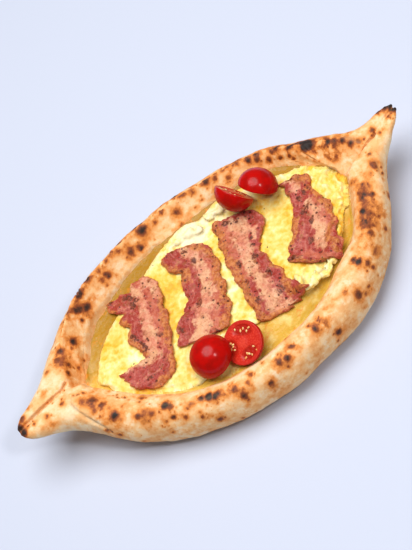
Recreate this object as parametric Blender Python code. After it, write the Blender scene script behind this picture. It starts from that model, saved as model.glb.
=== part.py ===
"""Khachapuri: a boat of bread dough filled with cheese, an omelette, bacon and tomato halves.

The boat lies along X with its base on Z = 0 and its middle over the origin. The near
rim is at -Y and the far rim at +Y. A place along the boat is also given as t, which
runs from -1 at the left horn's tip to +1 at the right one's. Sizes are in millimetres.
"""

import math

import bmesh
import bpy
import numpy as np
from mathutils import Matrix, Vector

MM = 0.001
GAP = 0.3  # clear space between pieces that touch

# ---- Boat, seen from above ----
LENGTH = 341.0
HALF_WIDTH = 87.5
HULL_FULLNESS = (2.85, 2.8)  # left and right end: a higher power makes a blunter hull
HULL_END = (0.898, 0.874)  # t where the hull's own outline would close
HORN_TIP_HALF_WIDTH = (8.0, 5.5)
HORN_SPREAD = (70.0, 58.0)  # how much the horn widens from its tip towards the middle
BELLY = 7.0  # the near side bulges this much more than the far side
SWAY = -4.3  # the middle line's gentle S
HORN_BEND = (-3.0, 3.3)
TIP_ROUNDING = 0.96  # |t| from which the horn's tip rounds off
TIP_RINGS = (0.982, 0.993)
LAST_RING = 0.9985
CORNER_RINGS = (-0.03, -0.014, -0.005, 0.004)  # further sections about the opening's ends

# ---- Boat, seen from the side ----
RIM_HEIGHT = 35.6
HORN_HEIGHT = (48.2, 42.5)
HORN_RISE = (0.35, 0.85)  # |t| between which the rim climbs to the horn
HORN_TIP_THICKNESS = (7.4, 1.0)
HORN_DEEPENING = (88.0, 100.0)  # how fast the horn's underside drops away from its tip
KEEL_BEND = 5.0  # softness of the bend where the underside leaves the ground
FLOOR_HEIGHT = 13.0
WAIST = 0.42  # height of the widest place, as a share of the wall
BASE_CURVE = 22.0  # how far the base's edge curves in
WALL_DROP = 14.0  # height of the rim's rounded inner side
SEAM_DEPTH = 2.6  # groove where the two rims meet in a horn

# ---- Opening between the two rims ----
OPENING_END = (0.686, 0.70)
OPENING = {"near": 64.5, "far": 63.5}
OPENING_FULLNESS = {"near": (2.6, 2.05), "far": (3.5, 3.5)}
INNER_UNDERCUT = {"near": 0.0, "far": 2.3}
CORNER_REACH = 5.0  # opening's half width at which its floor has come all the way up
# Hand-shaped places where a rim swells into the opening, or draws back from it:
# side, t, amount, reach in t.
SWELLS = (
    ("near", -0.50, 1.7, 0.10),
    ("near", 0.25, -1.2, 0.13),
    ("near", 0.53, -6.8, 0.07),
    ("near", 0.66, 4.9, 0.06),
    ("far", -0.35, 5.3, 0.12),
    ("far", 0.05, 1.2, 0.14),
    ("far", 0.50, -5.0, 0.12),
)

# ---- Laps, where the end of one rim lies over the horn ----
# side, t at the rim's crest, lean of its edge in t, direction in which the lap runs
# on, and its height.
LAPS = (("near", -0.765, 0.06, 1, 2.8), ("far", 0.80, -0.05, -1, 1.3))
LAP_EDGE = 0.02
LAP_FADE = 0.22
UNEVENNESS = 0.5

# ---- Filling ----
CHEESE_TOP = 26.0
CHEESE_LEAST = 1.2
CHEESE_GAP = 0.8
CHEESE_SHRINK = 0.996  # draws the cheese's two ends in from the dough
EGG_TOP = 30.2
EGG_ROUNDING = 0.55
# Distances from the rims' inner sides to the omelette's edge:
# x, from the far side, from the near side.
EGG_EDGE = (
    (-108.0, 16.0, 2.0),
    (-88.0, 19.0, 2.0),
    (-71.0, 19.0, 5.0),
    (-54.0, 18.0, 8.0),
    (-44.0, 17.0, 18.0),
    (-33.0, 15.0, 25.0),
    (-6.0, 6.0, 25.0),
    (6.0, 4.0, 22.0),
    (18.0, 10.0, 26.0),
    (34.0, 5.0, 22.0),
    (50.0, 6.0, 11.0),
    (72.0, 11.0, 6.0),
    (84.0, 12.0, 7.0),
    (95.0, 6.0, 15.0),
    (103.0, 3.0, 5.0),
    (111.0, 4.5, 4.0),
)

# ---- Bacon ----
BACON_THICKNESS = 2.2
BACON_RIPPLE = 1.1
BACON_CLEARANCE = 0.45
# Each rasher is a row of rungs from one end to the other: the x and y of its left
# edge, then of its right edge.
RASHERS = {
    "bacon_1": (
        (-73.5, 44.5, -37.0, 41.0),
        (-71.0, 32.0, -33.0, 24.5),
        (-71.0, 17.5, -37.0, 13.0),
        (-74.5, 2.0, -41.0, 0.5),
        (-71.5, -12.5, -48.0, -13.5),
        (-75.5, -14.5, -60.0, -35.5),
        (-83.5, -13.0, -74.5, -39.5),
        (-94.0, -11.0, -90.5, -29.0),
    ),
    "bacon_2": (
        (-21.0, 41.0, -7.0, 38.0),
        (-22.0, 31.5, 7.5, 29.5),
        (-19.5, 18.5, 11.0, 14.0),
        (-24.5, 0.5, 6.0, -1.0),
        (-32.0, -6.0, 0.5, -16.0),
        (-43.5, -14.5, -5.0, -27.5),
        (-49.0, -26.0, -15.0, -38.5),
        (-40.0, -31.0, -21.5, -36.5),
    ),
    "bacon_3": (
        (22.5, 36.5, 45.5, 26.0),
        (19.0, 24.5, 54.0, 14.0),
        (14.5, 9.0, 45.5, 1.5),
        (11.0, -3.5, 37.5, -6.0),
        (8.5, -18.5, 36.0, -20.0),
        (6.0, -35.5, 37.5, -34.0),
        (5.0, -51.0, 39.5, -48.5),
        (25.0, -58.0, 44.0, -58.0),
    ),
    "bacon_4": (
        (75.5, 24.0, 88.5, 21.0),
        (76.5, 15.5, 95.5, 14.0),
        (73.0, 4.0, 92.5, 1.5),
        (65.0, -8.5, 93.5, -13.0),
        (57.0, -18.5, 90.0, -26.0),
        (47.0, -27.0, 83.0, -40.5),
        (47.5, -35.5, 78.0, -52.5),
        (60.5, -47.0, 71.5, -56.0),
    ),
}

# ---- Tomato halves ----
# name, radius, height of the dome as a share of it, centre of the cut, and the
# direction that the cut faces.
TOMATOES = (
    ("tomato_1", 14.3, 0.95, (49.0, 32.6, 46.4), (0.848, 0.296, 0.440)),
    ("tomato_2", 14.3, 0.95, (63.6, 26.4, 41.9), (-0.707, -0.253, -0.662)),
    ("tomato_3", 15.2, 1.00, (-36.2, -51.6, 36.0), (0.20, 0.0, -0.98)),
    ("tomato_4", 15.2, 0.78, (-14.6, -60.2, 38.8), (-0.375, -0.137, 0.916)),
)

COLOURS = {
    "crust": (0.72, 0.47, 0.25),
    "cheese": (0.75, 0.55, 0.20),
    "omelette": (0.90, 0.74, 0.33),
    "bacon": (0.52, 0.17, 0.12),
    "tomato": (0.60, 0.02, 0.01),
}


def smooth(value, start, end):
    """0 before start, 1 after end, and an even S between them."""
    share = min(max((value - start) / (end - start), 0.0), 1.0)
    return share * share * (3 - 2 * share)


def ends(t, pair):
    """The left end's value, the right end's, or the blend of the two near the middle."""
    share = smooth(t, -0.3, 0.3)
    return pair[0] * (1 - share) + pair[1] * share


def tip_rounding(t):
    past = max(abs(t) - TIP_ROUNDING, 0) / (1 - TIP_ROUNDING)
    return math.sqrt(max(1 - past * past, 0))


def half_width(t):
    """The boat's half width: the hull's outline run smoothly into the horn's."""
    hull = HALF_WIDTH * max(1 - (abs(t) / ends(t, HULL_END)) ** ends(t, HULL_FULLNESS), 0)
    horn = ends(t, HORN_TIP_HALF_WIDTH) + ends(t, HORN_SPREAD) * (1 - abs(t))
    return (hull**6 + horn**6) ** (1 / 6) * tip_rounding(t)


def middle_y(t):
    away = abs(t)
    sway = ends(t, (-SWAY, SWAY)) * 2.6 * away * (1 - away**2)
    return -BELLY * (1 - away**2) + sway + ends(t, HORN_BEND) * smooth(away, 0.7, 1)


def horn_thickness(t):
    return ends(t, HORN_TIP_THICKNESS) + ends(t, HORN_DEEPENING) * (1 - abs(t))


def crest_z(t):
    climb = (ends(t, HORN_HEIGHT) - RIM_HEIGHT) * smooth(abs(t), *HORN_RISE)
    return RIM_HEIGHT + climb - (1 - tip_rounding(t)) * horn_thickness(t) / 2


def base_z(t):
    """Height of the underside: flat under the hull, then a soft bend up into the horn."""
    lift = crest_z(t) - horn_thickness(t) * tip_rounding(t)
    if lift > KEEL_BEND:
        return lift
    return max(lift + KEEL_BEND, 0.0) ** 2 / (4 * KEEL_BEND)


def opening(t, side):
    """Half width of the opening on this side, from the middle line to the rim's inner side."""
    fullness = ends(t, OPENING_FULLNESS[side])
    width = OPENING[side] * max(1 - (abs(t) / ends(t, OPENING_END)) ** fullness, 0)
    for where, place, amount, reach in SWELLS:
        if where == side:
            width -= amount * math.exp(-(((t - place) / reach) ** 2)) * (width > 0)
    return max(width, 0.0)


def roll_radius(t, side):
    return (half_width(t) - opening(t, side)) / 2


def depth_share(t):
    """0 in the horns, where the rims touch, and 1 where the opening is at full depth."""
    return smooth(min(opening(t, "near"), opening(t, "far")), 0, CORNER_REACH)


def wall_foot_z(t):
    """Height at which the rim's rounded inner side ends."""
    drop = min(WALL_DROP, 0.6 * (crest_z(t) - base_z(t)))
    seam = min(SEAM_DEPTH, 0.25 * (crest_z(t) - base_z(t)))
    return crest_z(t) - seam - (drop - seam) * depth_share(t)


def floor_z(t):
    foot = wall_foot_z(t) - 0.3
    return foot + (min(FLOOR_HEIGHT, foot) - foot) * depth_share(t)


def inner_radius(t, side):
    radius = roll_radius(t, side)
    return max(radius - INNER_UNDERCUT[side] * depth_share(t), 0.5 * radius)


def wall_y(t, side, z):
    """Distance from the middle line to the rim's inner side at this height."""
    foot = wall_foot_z(t)
    share = min(max((z - foot) / (crest_z(t) - foot), 0.0), 1.0)
    crest = half_width(t) - roll_radius(t, side)
    return crest - inner_radius(t, side) * math.sqrt(1 - share * share)


def wall_z(t, side, y):
    """Height of the rim's inner side at this distance from the middle line."""
    crest = half_width(t) - roll_radius(t, side)
    share = min(max((crest - y) / inner_radius(t, side), 0.0), 1.0)
    foot = wall_foot_z(t)
    return foot + (crest_z(t) - foot) * math.sqrt(1 - share * share) if share < 1 else 0.0


def lap(t, side, height_share):
    """How far a rim stands proud where its end lies over the horn."""
    total = 0.0
    for where, place, lean, way, height in LAPS:
        if where != side:
            continue
        past = way * (t - place) - abs(lean) * (1 - height_share)
        total += height * smooth(past, 0, LAP_EDGE) * (1 - smooth(past, LAP_EDGE, LAP_FADE))
    return total


def unevenness(t, turn):
    """Slow rise and fall of hand-rolled dough, along the boat and round the rim."""
    waves = math.sin(17 * t + 1.1 * turn) + math.sin(29 * t - 2.3 * turn + 1.7)
    return UNEVENNESS * (waves + 0.6 * math.sin(47 * t + 0.9 * turn + 0.4)) / 2


def outer_points(t, side, steps=5):
    """One side of a section, from the base's middle round the outside up to the crest."""
    width, crest, base = half_width(t), crest_z(t), base_z(t)
    curve = min(BASE_CURVE, 0.75 * width)
    waist = base + WAIST * (crest - base)
    radius = roll_radius(t, side)
    points = [((width - curve) * share, base) for share in (0.0, 0.5, 1.0)]
    for step in range(1, 2 * steps + 1):
        turn = -math.pi / 2 + math.pi / 2 * step / steps
        if turn <= 0:
            y = width - curve + curve * math.cos(turn)
            z = waist + (waist - base) * math.sin(turn)
        else:
            y = width - radius + radius * math.cos(turn)
            z = waist + (crest - waist) * math.sin(turn)
        lift = smooth(turn, -0.9, 0.2) * tip_rounding(t)
        proud = lift * (unevenness(t, turn) + lap(t, side, step / (2 * steps)))
        points.append((y + proud * math.cos(turn), z + proud * max(math.sin(turn), 0)))
    return points


def inner_points(t, side, steps=5):
    """One side of a section, from below the crest down the inside to the floor's middle."""
    crest = half_width(t) - roll_radius(t, side)
    least = 0.06 * half_width(t)
    foot = wall_foot_z(t)
    points = []
    for step in range(1, steps + 1):
        turn = math.pi / 2 * (1 + step / steps)
        inner = crest + inner_radius(t, side) * math.cos(turn)
        height = foot + (crest_z(t) - foot) * math.sin(turn)
        lift = 1 - smooth(step, 0, steps)
        proud = lift * (unevenness(t, turn) + lap(t, side, 1)) * tip_rounding(t)
        points.append((max(inner, least), height + proud))
    floor_edge = points[-1][0]
    points.append((0.97 * floor_edge, floor_z(t)))
    points.append((0.5 * floor_edge, floor_z(t)))
    return points


def crust_section(t):
    """A closed section of the boat, from the base's middle round the far side and back."""
    middle = middle_y(t)
    far = outer_points(t, "far") + inner_points(t, "far")
    near = outer_points(t, "near") + inner_points(t, "near")
    ring = far + [(0.0, floor_z(t))] + [(-y, z) for y, z in reversed(near[1:])]
    return [(t * LENGTH / 2, middle + y, z) for y, z in ring]


def stations(count=54):
    """Values of t from one end to the other, closer together towards both ends."""
    steps = [2 * k / (count - 1) - 1 for k in range(count)]
    spread = [LAST_RING * (0.55 * s + 0.45 * math.sin(math.pi / 2 * s)) for s in steps]
    for way, end in zip((-1, 1), OPENING_END):
        spread = [t for t in spread if not end - 0.034 < way * t < end + 0.008]
        spread += [way * (end + step) for step in CORNER_RINGS]
        spread += [way * t for t in TIP_RINGS]
    return sorted(spread)


def loft(name, sections):
    """A closed mesh through a row of closed sections, with a fan over each end."""
    size = len(sections[0])
    points = [point for section in sections for point in section]
    faces = []
    for row in range(len(sections) - 1):
        for k in range(size):
            a, b = row * size + k, row * size + (k + 1) % size
            faces.append((a, b, b + size, a + size))
    for row, flip in ((0, True), (len(sections) - 1, False)):
        centre = len(points)
        points.append(tuple(np.mean(sections[row], axis=0)))
        for k in range(size):
            a, b = row * size + k, row * size + (k + 1) % size
            faces.append((b, a, centre) if flip else (a, b, centre))
    mesh = bpy.data.meshes.new(name)
    mesh.from_pydata([Vector(point) * MM for point in points], [], faces)
    outward = bmesh.new()
    outward.from_mesh(mesh)
    bmesh.ops.recalc_face_normals(outward, faces=outward.faces)
    bmesh.ops.triangulate(outward, faces=outward.faces)
    outward.to_mesh(mesh)
    outward.free()
    mesh.shade_smooth()
    return mesh


def material(name, colour, roughness):
    made = bpy.data.materials.new(name)
    made.use_nodes = True
    shader = made.node_tree.nodes["Principled BSDF"]
    shader.inputs["Base Color"].default_value = (*colour, 1)
    shader.inputs["Roughness"].default_value = roughness
    shader.inputs["Metallic"].default_value = 0.0
    return made


def add_piece(name, mesh, collection, finish):
    piece = bpy.data.objects.new(name, mesh)
    mesh.materials.append(finish)
    collection.objects.link(piece)
    return piece


def crust_mesh():
    return loft("crust", [crust_section(t) for t in stations()])


def cheese_section(t):
    """A section of the cheese, which fills the boat from wall to wall up to its top."""
    middle, floor, foot = middle_y(t), floor_z(t) + 2 * GAP, wall_foot_z(t)
    ring = []
    for side, way in (("far", 1), ("near", -1)):
        low = wall_y(t, side, floor) * 0.97 - CHEESE_GAP
        knee = wall_y(t, side, foot) - CHEESE_GAP
        top = wall_y(t, side, CHEESE_TOP) - CHEESE_GAP
        knee_z = max(min(foot, CHEESE_TOP - 0.8), floor + 0.5)
        half = [(0.5 * low, floor), (low, floor), (knee, knee_z), (top, CHEESE_TOP)]
        half.append((0.5 * top, CHEESE_TOP))
        ring.append([(way * y, z) for y, z in half])
    ring = [(0.0, floor)] + ring[0] + [(0.0, CHEESE_TOP)] + ring[1][::-1]
    return [(t * LENGTH / 2 * CHEESE_SHRINK, middle + y, z) for y, z in ring]


def cheese_mesh():
    places = [t for t in stations() if floor_z(t) < CHEESE_TOP - CHEESE_LEAST]
    return loft("cheese", [cheese_section(t) for t in places])


def egg_margin(x, side):
    column = 1 if side == "far" else 2
    return float(np.interp(x, [row[0] for row in EGG_EDGE], [row[column] for row in EGG_EDGE]))


def egg_edge(x, side):
    """Signed distance from the middle line to the omelette's edge on this side."""
    t = 2 * x / LENGTH
    return max(wall_y(t, side, CHEESE_TOP + 2) - egg_margin(x, side), 0.0)


def egg_z(x, y):
    """The omelette's top: low swells, and tighter folds towards its right end."""
    swell = 0.5 * math.sin(0.11 * x + 0.05 * y) + 0.4 * math.sin(0.07 * x - 0.13 * y + 1)
    folds = smooth(x, 80, 100) * 0.7 * math.sin(0.55 * x + 0.25 * y)
    return EGG_TOP + swell + folds


def egg_section(x, end_share):
    """A section of the omelette at x. The end share narrows and lowers its two ends."""
    middle = middle_y(2 * x / LENGTH)
    low = CHEESE_TOP + GAP
    far, near = egg_edge(x, "far") * end_share, egg_edge(x, "near") * end_share
    top = []
    for share in (-1.0, -0.97, -0.85, -0.6, -0.3, 0.0, 0.3, 0.6, 0.85, 0.97, 1.0):
        y = middle + share * (far if share > 0 else near)
        round_off = (1 - abs(share) ** 8) ** EGG_ROUNDING
        top.append((x, y, low + 0.6 + (egg_z(x, y) - low - 0.6) * round_off * end_share))
    bottom = [(x, y, low) for _, y, _ in top[::2]]
    return bottom + top[::-1]


def egg_mesh():
    first, last = EGG_EDGE[0][0], EGG_EDGE[-1][0]
    sections = []
    for x in np.linspace(first, last, 46):
        inside = min(x - first, last - x) / 12
        end_share = 0.35 + 0.65 * math.sqrt(1 - (1 - min(inside, 1)) ** 2)
        sections.append(egg_section(float(x), end_share))
    return loft("omelette", sections)


def support_z(x, y):
    """Height of what lies under a point: cheese, omelette or the inner side of a rim."""
    t = 2 * x / LENGTH
    off = y - middle_y(t)
    side = "far" if off > 0 else "near"
    height = max(CHEESE_TOP, wall_z(t, side, abs(off)))
    if EGG_EDGE[0][0] < x < EGG_EDGE[-1][0] and abs(off) < egg_edge(x, side):
        height = max(height, egg_z(x, y))
    return height


def drape_z(x, y, reach=4.0):
    """Height that a soft rasher takes up over the highest support close by."""
    around = [(0, 0)] + [(math.cos(a), math.sin(a)) for a in np.linspace(0, 2 * math.pi, 9)]
    return max(support_z(x + reach * i, y + reach * j) for i, j in around)


def spline(rows, count):
    """Points on a smooth curve through the rows, evenly spread over them."""
    rows = np.array([rows[0], *rows, rows[-1]], float)
    out = []
    for place in np.linspace(0, len(rows) - 3, count):
        k = min(int(place), len(rows) - 4)
        u = place - k
        a, b, c, d = rows[k : k + 4]
        slope, turn = c - a, 2 * a - 5 * b + 4 * c - d
        out.append(b + 0.5 * u * (slope + u * (turn + u * (3 * (b - c) + d - a))))
    return out


def rasher_mesh(name, rungs, rows=20, columns=6):
    """A ribbon of bacon between its two edges, draped over what lies under it."""
    phase = len(name) + 2.3 * rungs[0][0]
    sections = []
    for row, rung in enumerate(spline(rungs, rows)):
        left, right = rung[:2], rung[2:]
        frill = 0.03 * math.sin(2.1 * row + phase)
        top = []
        for column in range(columns):
            share = column / (columns - 1)
            x, y = left + (right - left) * (share * (1 - 2 * frill) + frill)
            wave = 1 + math.sin(0.9 * row + 2.2 * share + phase)
            z = drape_z(x, y) + BACON_CLEARANCE + BACON_THICKNESS + BACON_RIPPLE / 2 * wave
            top.append((x, y, z))
        bottom = [(x, y, z - BACON_THICKNESS) for x, y, z in top]
        sections.append(bottom + top[::-1])
    return loft(name, sections)


def tomato_mesh(name, radius, dome):
    """Half a cherry tomato, its cut across the origin and facing +Z."""
    shape = bmesh.new()
    bmesh.ops.create_uvsphere(shape, u_segments=24, v_segments=14, radius=radius * MM)
    bmesh.ops.rotate(shape, verts=shape.verts, matrix=Matrix.Rotation(math.radians(90), 3, "X"))
    bmesh.ops.scale(shape, verts=shape.verts, vec=(1, 1, dome))
    everything = shape.verts[:] + shape.edges[:] + shape.faces[:]
    cut = bmesh.ops.bisect_plane(
        shape, geom=everything, plane_co=(0, 0, 0), plane_no=(0, 0, 1), clear_outer=True
    )
    rim = [item for item in cut["geom_cut"] if isinstance(item, bmesh.types.BMEdge)]
    bmesh.ops.contextual_create(shape, geom=rim)
    bmesh.ops.recalc_face_normals(shape, faces=shape.faces)
    mesh = bpy.data.meshes.new(name)
    shape.to_mesh(mesh)
    shape.free()
    mesh.shade_smooth()
    mesh.set_sharp_from_angle(angle=math.radians(40))
    return mesh


def clear_scene():
    for item in list(bpy.data.objects):
        bpy.data.objects.remove(item)


def main():
    clear_scene()
    collection = bpy.data.collections.new("khachapuri")
    bpy.context.scene.collection.children.link(collection)
    add_piece("crust", crust_mesh(), collection, material("crust", COLOURS["crust"], 0.75))
    add_piece("cheese", cheese_mesh(), collection, material("cheese", COLOURS["cheese"], 0.4))
    omelette = material("omelette", COLOURS["omelette"], 0.45)
    add_piece("omelette", egg_mesh(), collection, omelette)
    for name, rungs in RASHERS.items():
        finish = material(name, COLOURS["bacon"], 0.4)
        add_piece(name, rasher_mesh(name, rungs), collection, finish)
    for name, radius, dome, centre, facing in TOMATOES:
        finish = material(name, COLOURS["tomato"], 0.2)
        half = add_piece(name, tomato_mesh(name, radius, dome), collection, finish)
        half.location = Vector(centre) * MM
        half.rotation_mode = "QUATERNION"
        half.rotation_quaternion = Vector(facing).to_track_quat("Z", "Y")


main()
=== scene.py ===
"""Khachapuri with its looks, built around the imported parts.

A boat of baked dough holds melted cheese, an omelette, four fried rashers and four
halves of cherry tomato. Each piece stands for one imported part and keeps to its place.
Sizes are in millimetres unless a property says otherwise. The boat lies along X, its
near rim is at -Y and its far rim at +Y. The file is laid out as an add-on and is run as a
script.
"""

import math

import bmesh
import bpy
import numpy as np
from bpy.props import FloatProperty, FloatVectorProperty, IntProperty, PointerProperty
from mathutils import Matrix, Vector, noise
from mathutils.bvhtree import BVHTree
from mathutils.kdtree import KDTree


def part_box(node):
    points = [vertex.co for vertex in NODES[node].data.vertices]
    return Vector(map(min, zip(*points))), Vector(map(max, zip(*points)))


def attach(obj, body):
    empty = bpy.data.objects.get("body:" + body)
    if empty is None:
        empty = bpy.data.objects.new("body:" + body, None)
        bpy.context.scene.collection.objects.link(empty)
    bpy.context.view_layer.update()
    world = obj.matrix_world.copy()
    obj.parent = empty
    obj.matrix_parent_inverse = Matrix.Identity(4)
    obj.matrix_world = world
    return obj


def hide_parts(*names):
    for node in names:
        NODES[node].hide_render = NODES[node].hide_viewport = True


bl_info = {
    "name": "Khachapuri",
    "version": (1, 0, 0),
    "blender": (4, 5, 0),
    "location": "3D View > Sidebar > Khachapuri",
    "description": "Gives a packed khachapuri its crust, cheese, omelette, bacon and tomatoes",
    "category": "Object",
}

MM = 0.001
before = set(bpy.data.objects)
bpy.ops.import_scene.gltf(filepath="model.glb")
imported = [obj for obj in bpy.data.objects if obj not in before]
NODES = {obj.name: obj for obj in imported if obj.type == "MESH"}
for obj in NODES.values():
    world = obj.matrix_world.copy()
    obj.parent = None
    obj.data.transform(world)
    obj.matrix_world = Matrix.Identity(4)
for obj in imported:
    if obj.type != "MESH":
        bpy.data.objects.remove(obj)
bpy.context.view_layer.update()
DRESSED = {}  # finished pieces that later ones lie on, by name
FAR, NEAR = 1, -1  # the two rims, by the sign of their y
ABOVE = 100.0  # higher than everything, where rays that look down start

# ---- Crust ----
# The largest scorches on each rim: distance along the boat, degrees round the roll
# from its top (outwards is positive), radius, and bake (1 is char).
SCORCHES = {
    FAR: (
        (-169, 0, 3.6, 1.1), (-163, 5, 3, 0.95), (-155, 15, 2, 0.5), (-141, -20, 2, 0.5),
        (-131, 15, 2.5, 0.55), (-120, 2, 3, 0.9), (-115, -1, 3.2, 0.95), (-118, -4, 6, 0.6),
        (-117, -19, 3.5, 0.6), (-120, -27, 2.2, 0.75), (-114, -42, 2, 0.55), (-105, -38, 3.8, 0.9),
        (-107, -22, 3, 0.55), (-105, 5, 4, 0.5), (-98, 0, 3, 0.45), (-88, -36, 4.2, 0.95),
        (-83, -58, 3.5, 0.85), (-86, -44, 6, 0.58), (-91, -62, 2, 0.7), (-80, -18, 4.2, 0.7),
        (-70, -6, 3.5, 0.9), (-73, 25, 1.5, 0.9), (-57, -42, 3.4, 0.9), (-62, -44, 2.5, 0.7),
        (-59, -22, 1.8, 0.7), (-57, 8, 1.5, 0.8), (-52, -20, 1.6, 0.6), (-41, -26, 3.2, 0.55),
        (-37, 27, 1.5, 0.9), (-33, -46, 3.8, 0.8), (-26, -66, 3, 0.85), (-33, -70, 1.8, 0.6),
        (-18, -28, 4.2, 0.82), (-20, 35, 1.5, 0.95), (-6, -30, 2.2, 0.6), (1, -22, 2.2, 0.55),
        (10, -45, 3, 0.75), (16, 30, 1.5, 0.95), (20, -8, 3, 0.6), (28, -30, 2.6, 0.65),
        (40, -20, 2.5, 0.75), (46, -30, 2, 0.7), (54, -50, 2.6, 0.8), (58, -5, 3, 0.6),
        (65, -20, 2.2, 0.7), (72, -30, 2.6, 0.85), (78, -38, 2.6, 0.85), (79, -8, 2, 0.7),
        (84, -54, 2.4, 0.85), (88, -30, 2, 0.75), (90, -64, 2.2, 0.9), (92, -8, 2.2, 0.75),
        (96, -50, 2.2, 0.85), (98, -20, 2, 0.7), (97, -66, 1.8, 0.9), (101, -4, 2, 0.75),
        (109, -3, 4.5, 1), (108, 6, 3.5, 0.9), (121, 12, 2.5, 0.6), (126, 1, 3, 0.6), (124, 6, 3, 0.75),
        (128, -4, 3, 0.85), (130, -10, 3, 0.6), (131, -16, 3.2, 0.95), (133, -22, 3, 0.6),
        (135, -28, 2.4, 0.8), (147, -38, 2, 0.75), (159, 32, 2, 0.85), (164, 16, 3, 0.8),
        (169, 30, 3.6, 1.1),
    ),
    NEAR: (
        (-168, 0, 3.6, 1.1), (-158, -16, 1.6, 0.8), (-147, -10, 1.6, 0.75), (-135, -21, 2, 0.85),
        (-149, 45, 3, 0.35), (-123, -8, 3, 0.55), (-118, 0, 5.5, 0.6), (-114, -1, 2.5, 0.85),
        (-119, 15, 2.5, 0.7), (-111, 21, 2.8, 1), (-111, 20, 5, 0.6), (-99, 22, 2.8, 0.85),
        (-96, 20, 4.5, 0.6), (-92, 18, 3.2, 0.7), (-91, -32, 2, 0.8), (-88, 44, 2.5, 0.5),
        (-81, -4, 3, 1), (-79, 2, 2.5, 0.9), (-67, 5, 3.2, 0.5), (-67, 52, 2.2, 0.8),
        (-82, 35, 1.8, 0.7), (-76, 42, 1.8, 0.7), (-60, 85, 2.5, 0.7), (-59, -9, 2.5, 0.85),
        (-55, -4, 3, 0.95), (-51, 3, 2.6, 0.8), (-48, -7, 3, 0.55), (-38, 8, 2.8, 0.8),
        (-37, 42, 3, 0.75), (-29, 9, 2.2, 0.5), (-24, -12, 2.2, 0.65), (-18, 60, 2.8, 0.75),
        (-4, 15, 2.4, 0.75), (0, 19, 3, 0.8), (9, 2, 2, 0.75), (28, 14, 3, 0.8), (36, 20, 2.2, 0.55),
        (38, 84, 2.8, 0.75), (58, 18, 2, 0.6), (65, 54, 3.2, 0.8), (73, 68, 2, 0.6),
        (78, -8, 2.2, 0.85), (79, 11, 2.2, 0.95), (83, 40, 2, 0.85), (84, 59, 2, 0.75),
        (92, 45, 4, 0.45), (98, 24, 2.8, 0.75), (104, -6, 2.5, 0.9), (106, 15, 5, 0.6),
        (113, 0, 6, 0.6), (113, 3, 2.6, 0.85), (116, 21, 2.3, 0.9), (108, 68, 2.2, 0.65),
        (125, 80, 2.2, 0.75), (130, 10, 3.5, 0.8), (131, 22, 2.5, 0.85), (100, 12, 7, 0.5),
        (108, 8, 7, 0.5), (116, 6, 6, 0.5), (124, 2, 4.5, 0.45), (132, 14, 5, 0.55), (101, 5, 1.5, 0.8),
        (104, 20, 1.6, 0.8), (110, -4, 1.6, 0.8), (110, 12, 1.6, 0.75), (117, -3, 1.5, 0.75),
        (119, 10, 1.6, 0.8), (134, -9, 1.6, 0.8), (150, -25, 1.8, 0.6), (162, -20, 1.8, 0.8),
        (168, -15, 3.4, 1.1),
    ),
}
# A spot's dark middle and the browned ring round it: darkness, and reach in radii.
SPOT_CORE = (0.80, 1.05)
SPOT_HALO = (0.56, 1.55)
HALO_MOST = 0.44  # the darkest that a ring gets
# Creases across a rim: the rim, depth, width, and the path as distance along the boat
# and degrees round the roll.
CREASES = (
    (NEAR, 0.9, 1.3, ((-130, -15), (-130, 0), (-129, 22), (-127, 45), (-123, 58), (-119, 75))),
    (NEAR, 0.5, 1.1, ((-130, -16), (-127, -26), (-120, -30))),
    (FAR, 0.8, 1.2, ((129, 22), (131, 3), (134, -20), (137, -46))),
    (FAR, 0.8, 0.9, ((103, -31), (105, -48), (108, -64))),
    (NEAR, 0.5, 1.4, ((135, -26), (135, 7), (133, 32), (129, 57))),
    (NEAR, 0.35, 1.2, ((-108, -44), (-96, -28), (-83, -7), (-66, 0), (-45, 3))),
)
# Seams in the horns, where the rims meet: depth, width, and the path as distance along
# the boat and distance from its middle line.
SEAMS = (
    (2.6, 1, ((-170, 0.8), (-157, 0.9), (-146, 1.2), (-137, 1.4), (-129, 2.2), (-125, 4.6))),
    (2.4, 0.9, ((170, 0.5), (153, 0.5), (145, -1.6), (137, 0), (123, -1))),
)
# Banks of dough inside the hollow: the rim, the slopes outwards and inwards of their
# edge, and the edge as x, y and z.
BANKS = (
    (FAR, 1, 1.5, (
        (-119, 6, 26), (-112, 9, 26), (-105, 16, 26), (-95, 26, 26), (-88, 31, 26), (-74, 40, 26),
        (-61, 46, 26), (-47, 51, 26), (-33, 54, 26), (0, 55, 26), (35, 52, 26), (62, 48, 26),
        (83, 40, 26), (93, 30, 26), (104, 17, 26), (112, 8, 25),
    )),
    (NEAR, 0.15, 2.5, (
        (-128, 1, 46), (-121, -4, 45), (-115, -8, 43), (-109, -14, 41), (-102, -22, 38), (-95, -30, 37),
        (-88, -39, 35), (-80, -48, 34), (-72, -56, 33), (-61, -63, 32),
    )),
    (NEAR, 0.15, 5, (
        (90, -52, 34), (98, -41, 35), (104, -32, 36), (111, -21, 37), (116, -14, 38), (121, -11, 38),
        (127, -9, 39), (134, -8, 40),
    )),
)
# Valleys that run on from the hollow's ends into the horns: slopes of the far and the
# near face, and the bottom's path as x, y and z.
VALLEYS = (
    (0.55, 6, (
        (106, -6, 18), (112, -8, 22), (118, -8, 27), (124, -7, 31), (134, -6, 37), (143, -4, 42),
    )),
    (1.2, 2.5, (
        (-126, -1, 44), (-122, 1, 36), (-118, 3, 28), (-114, 4, 22), (-109, 4, 17),
    )),
)

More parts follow.
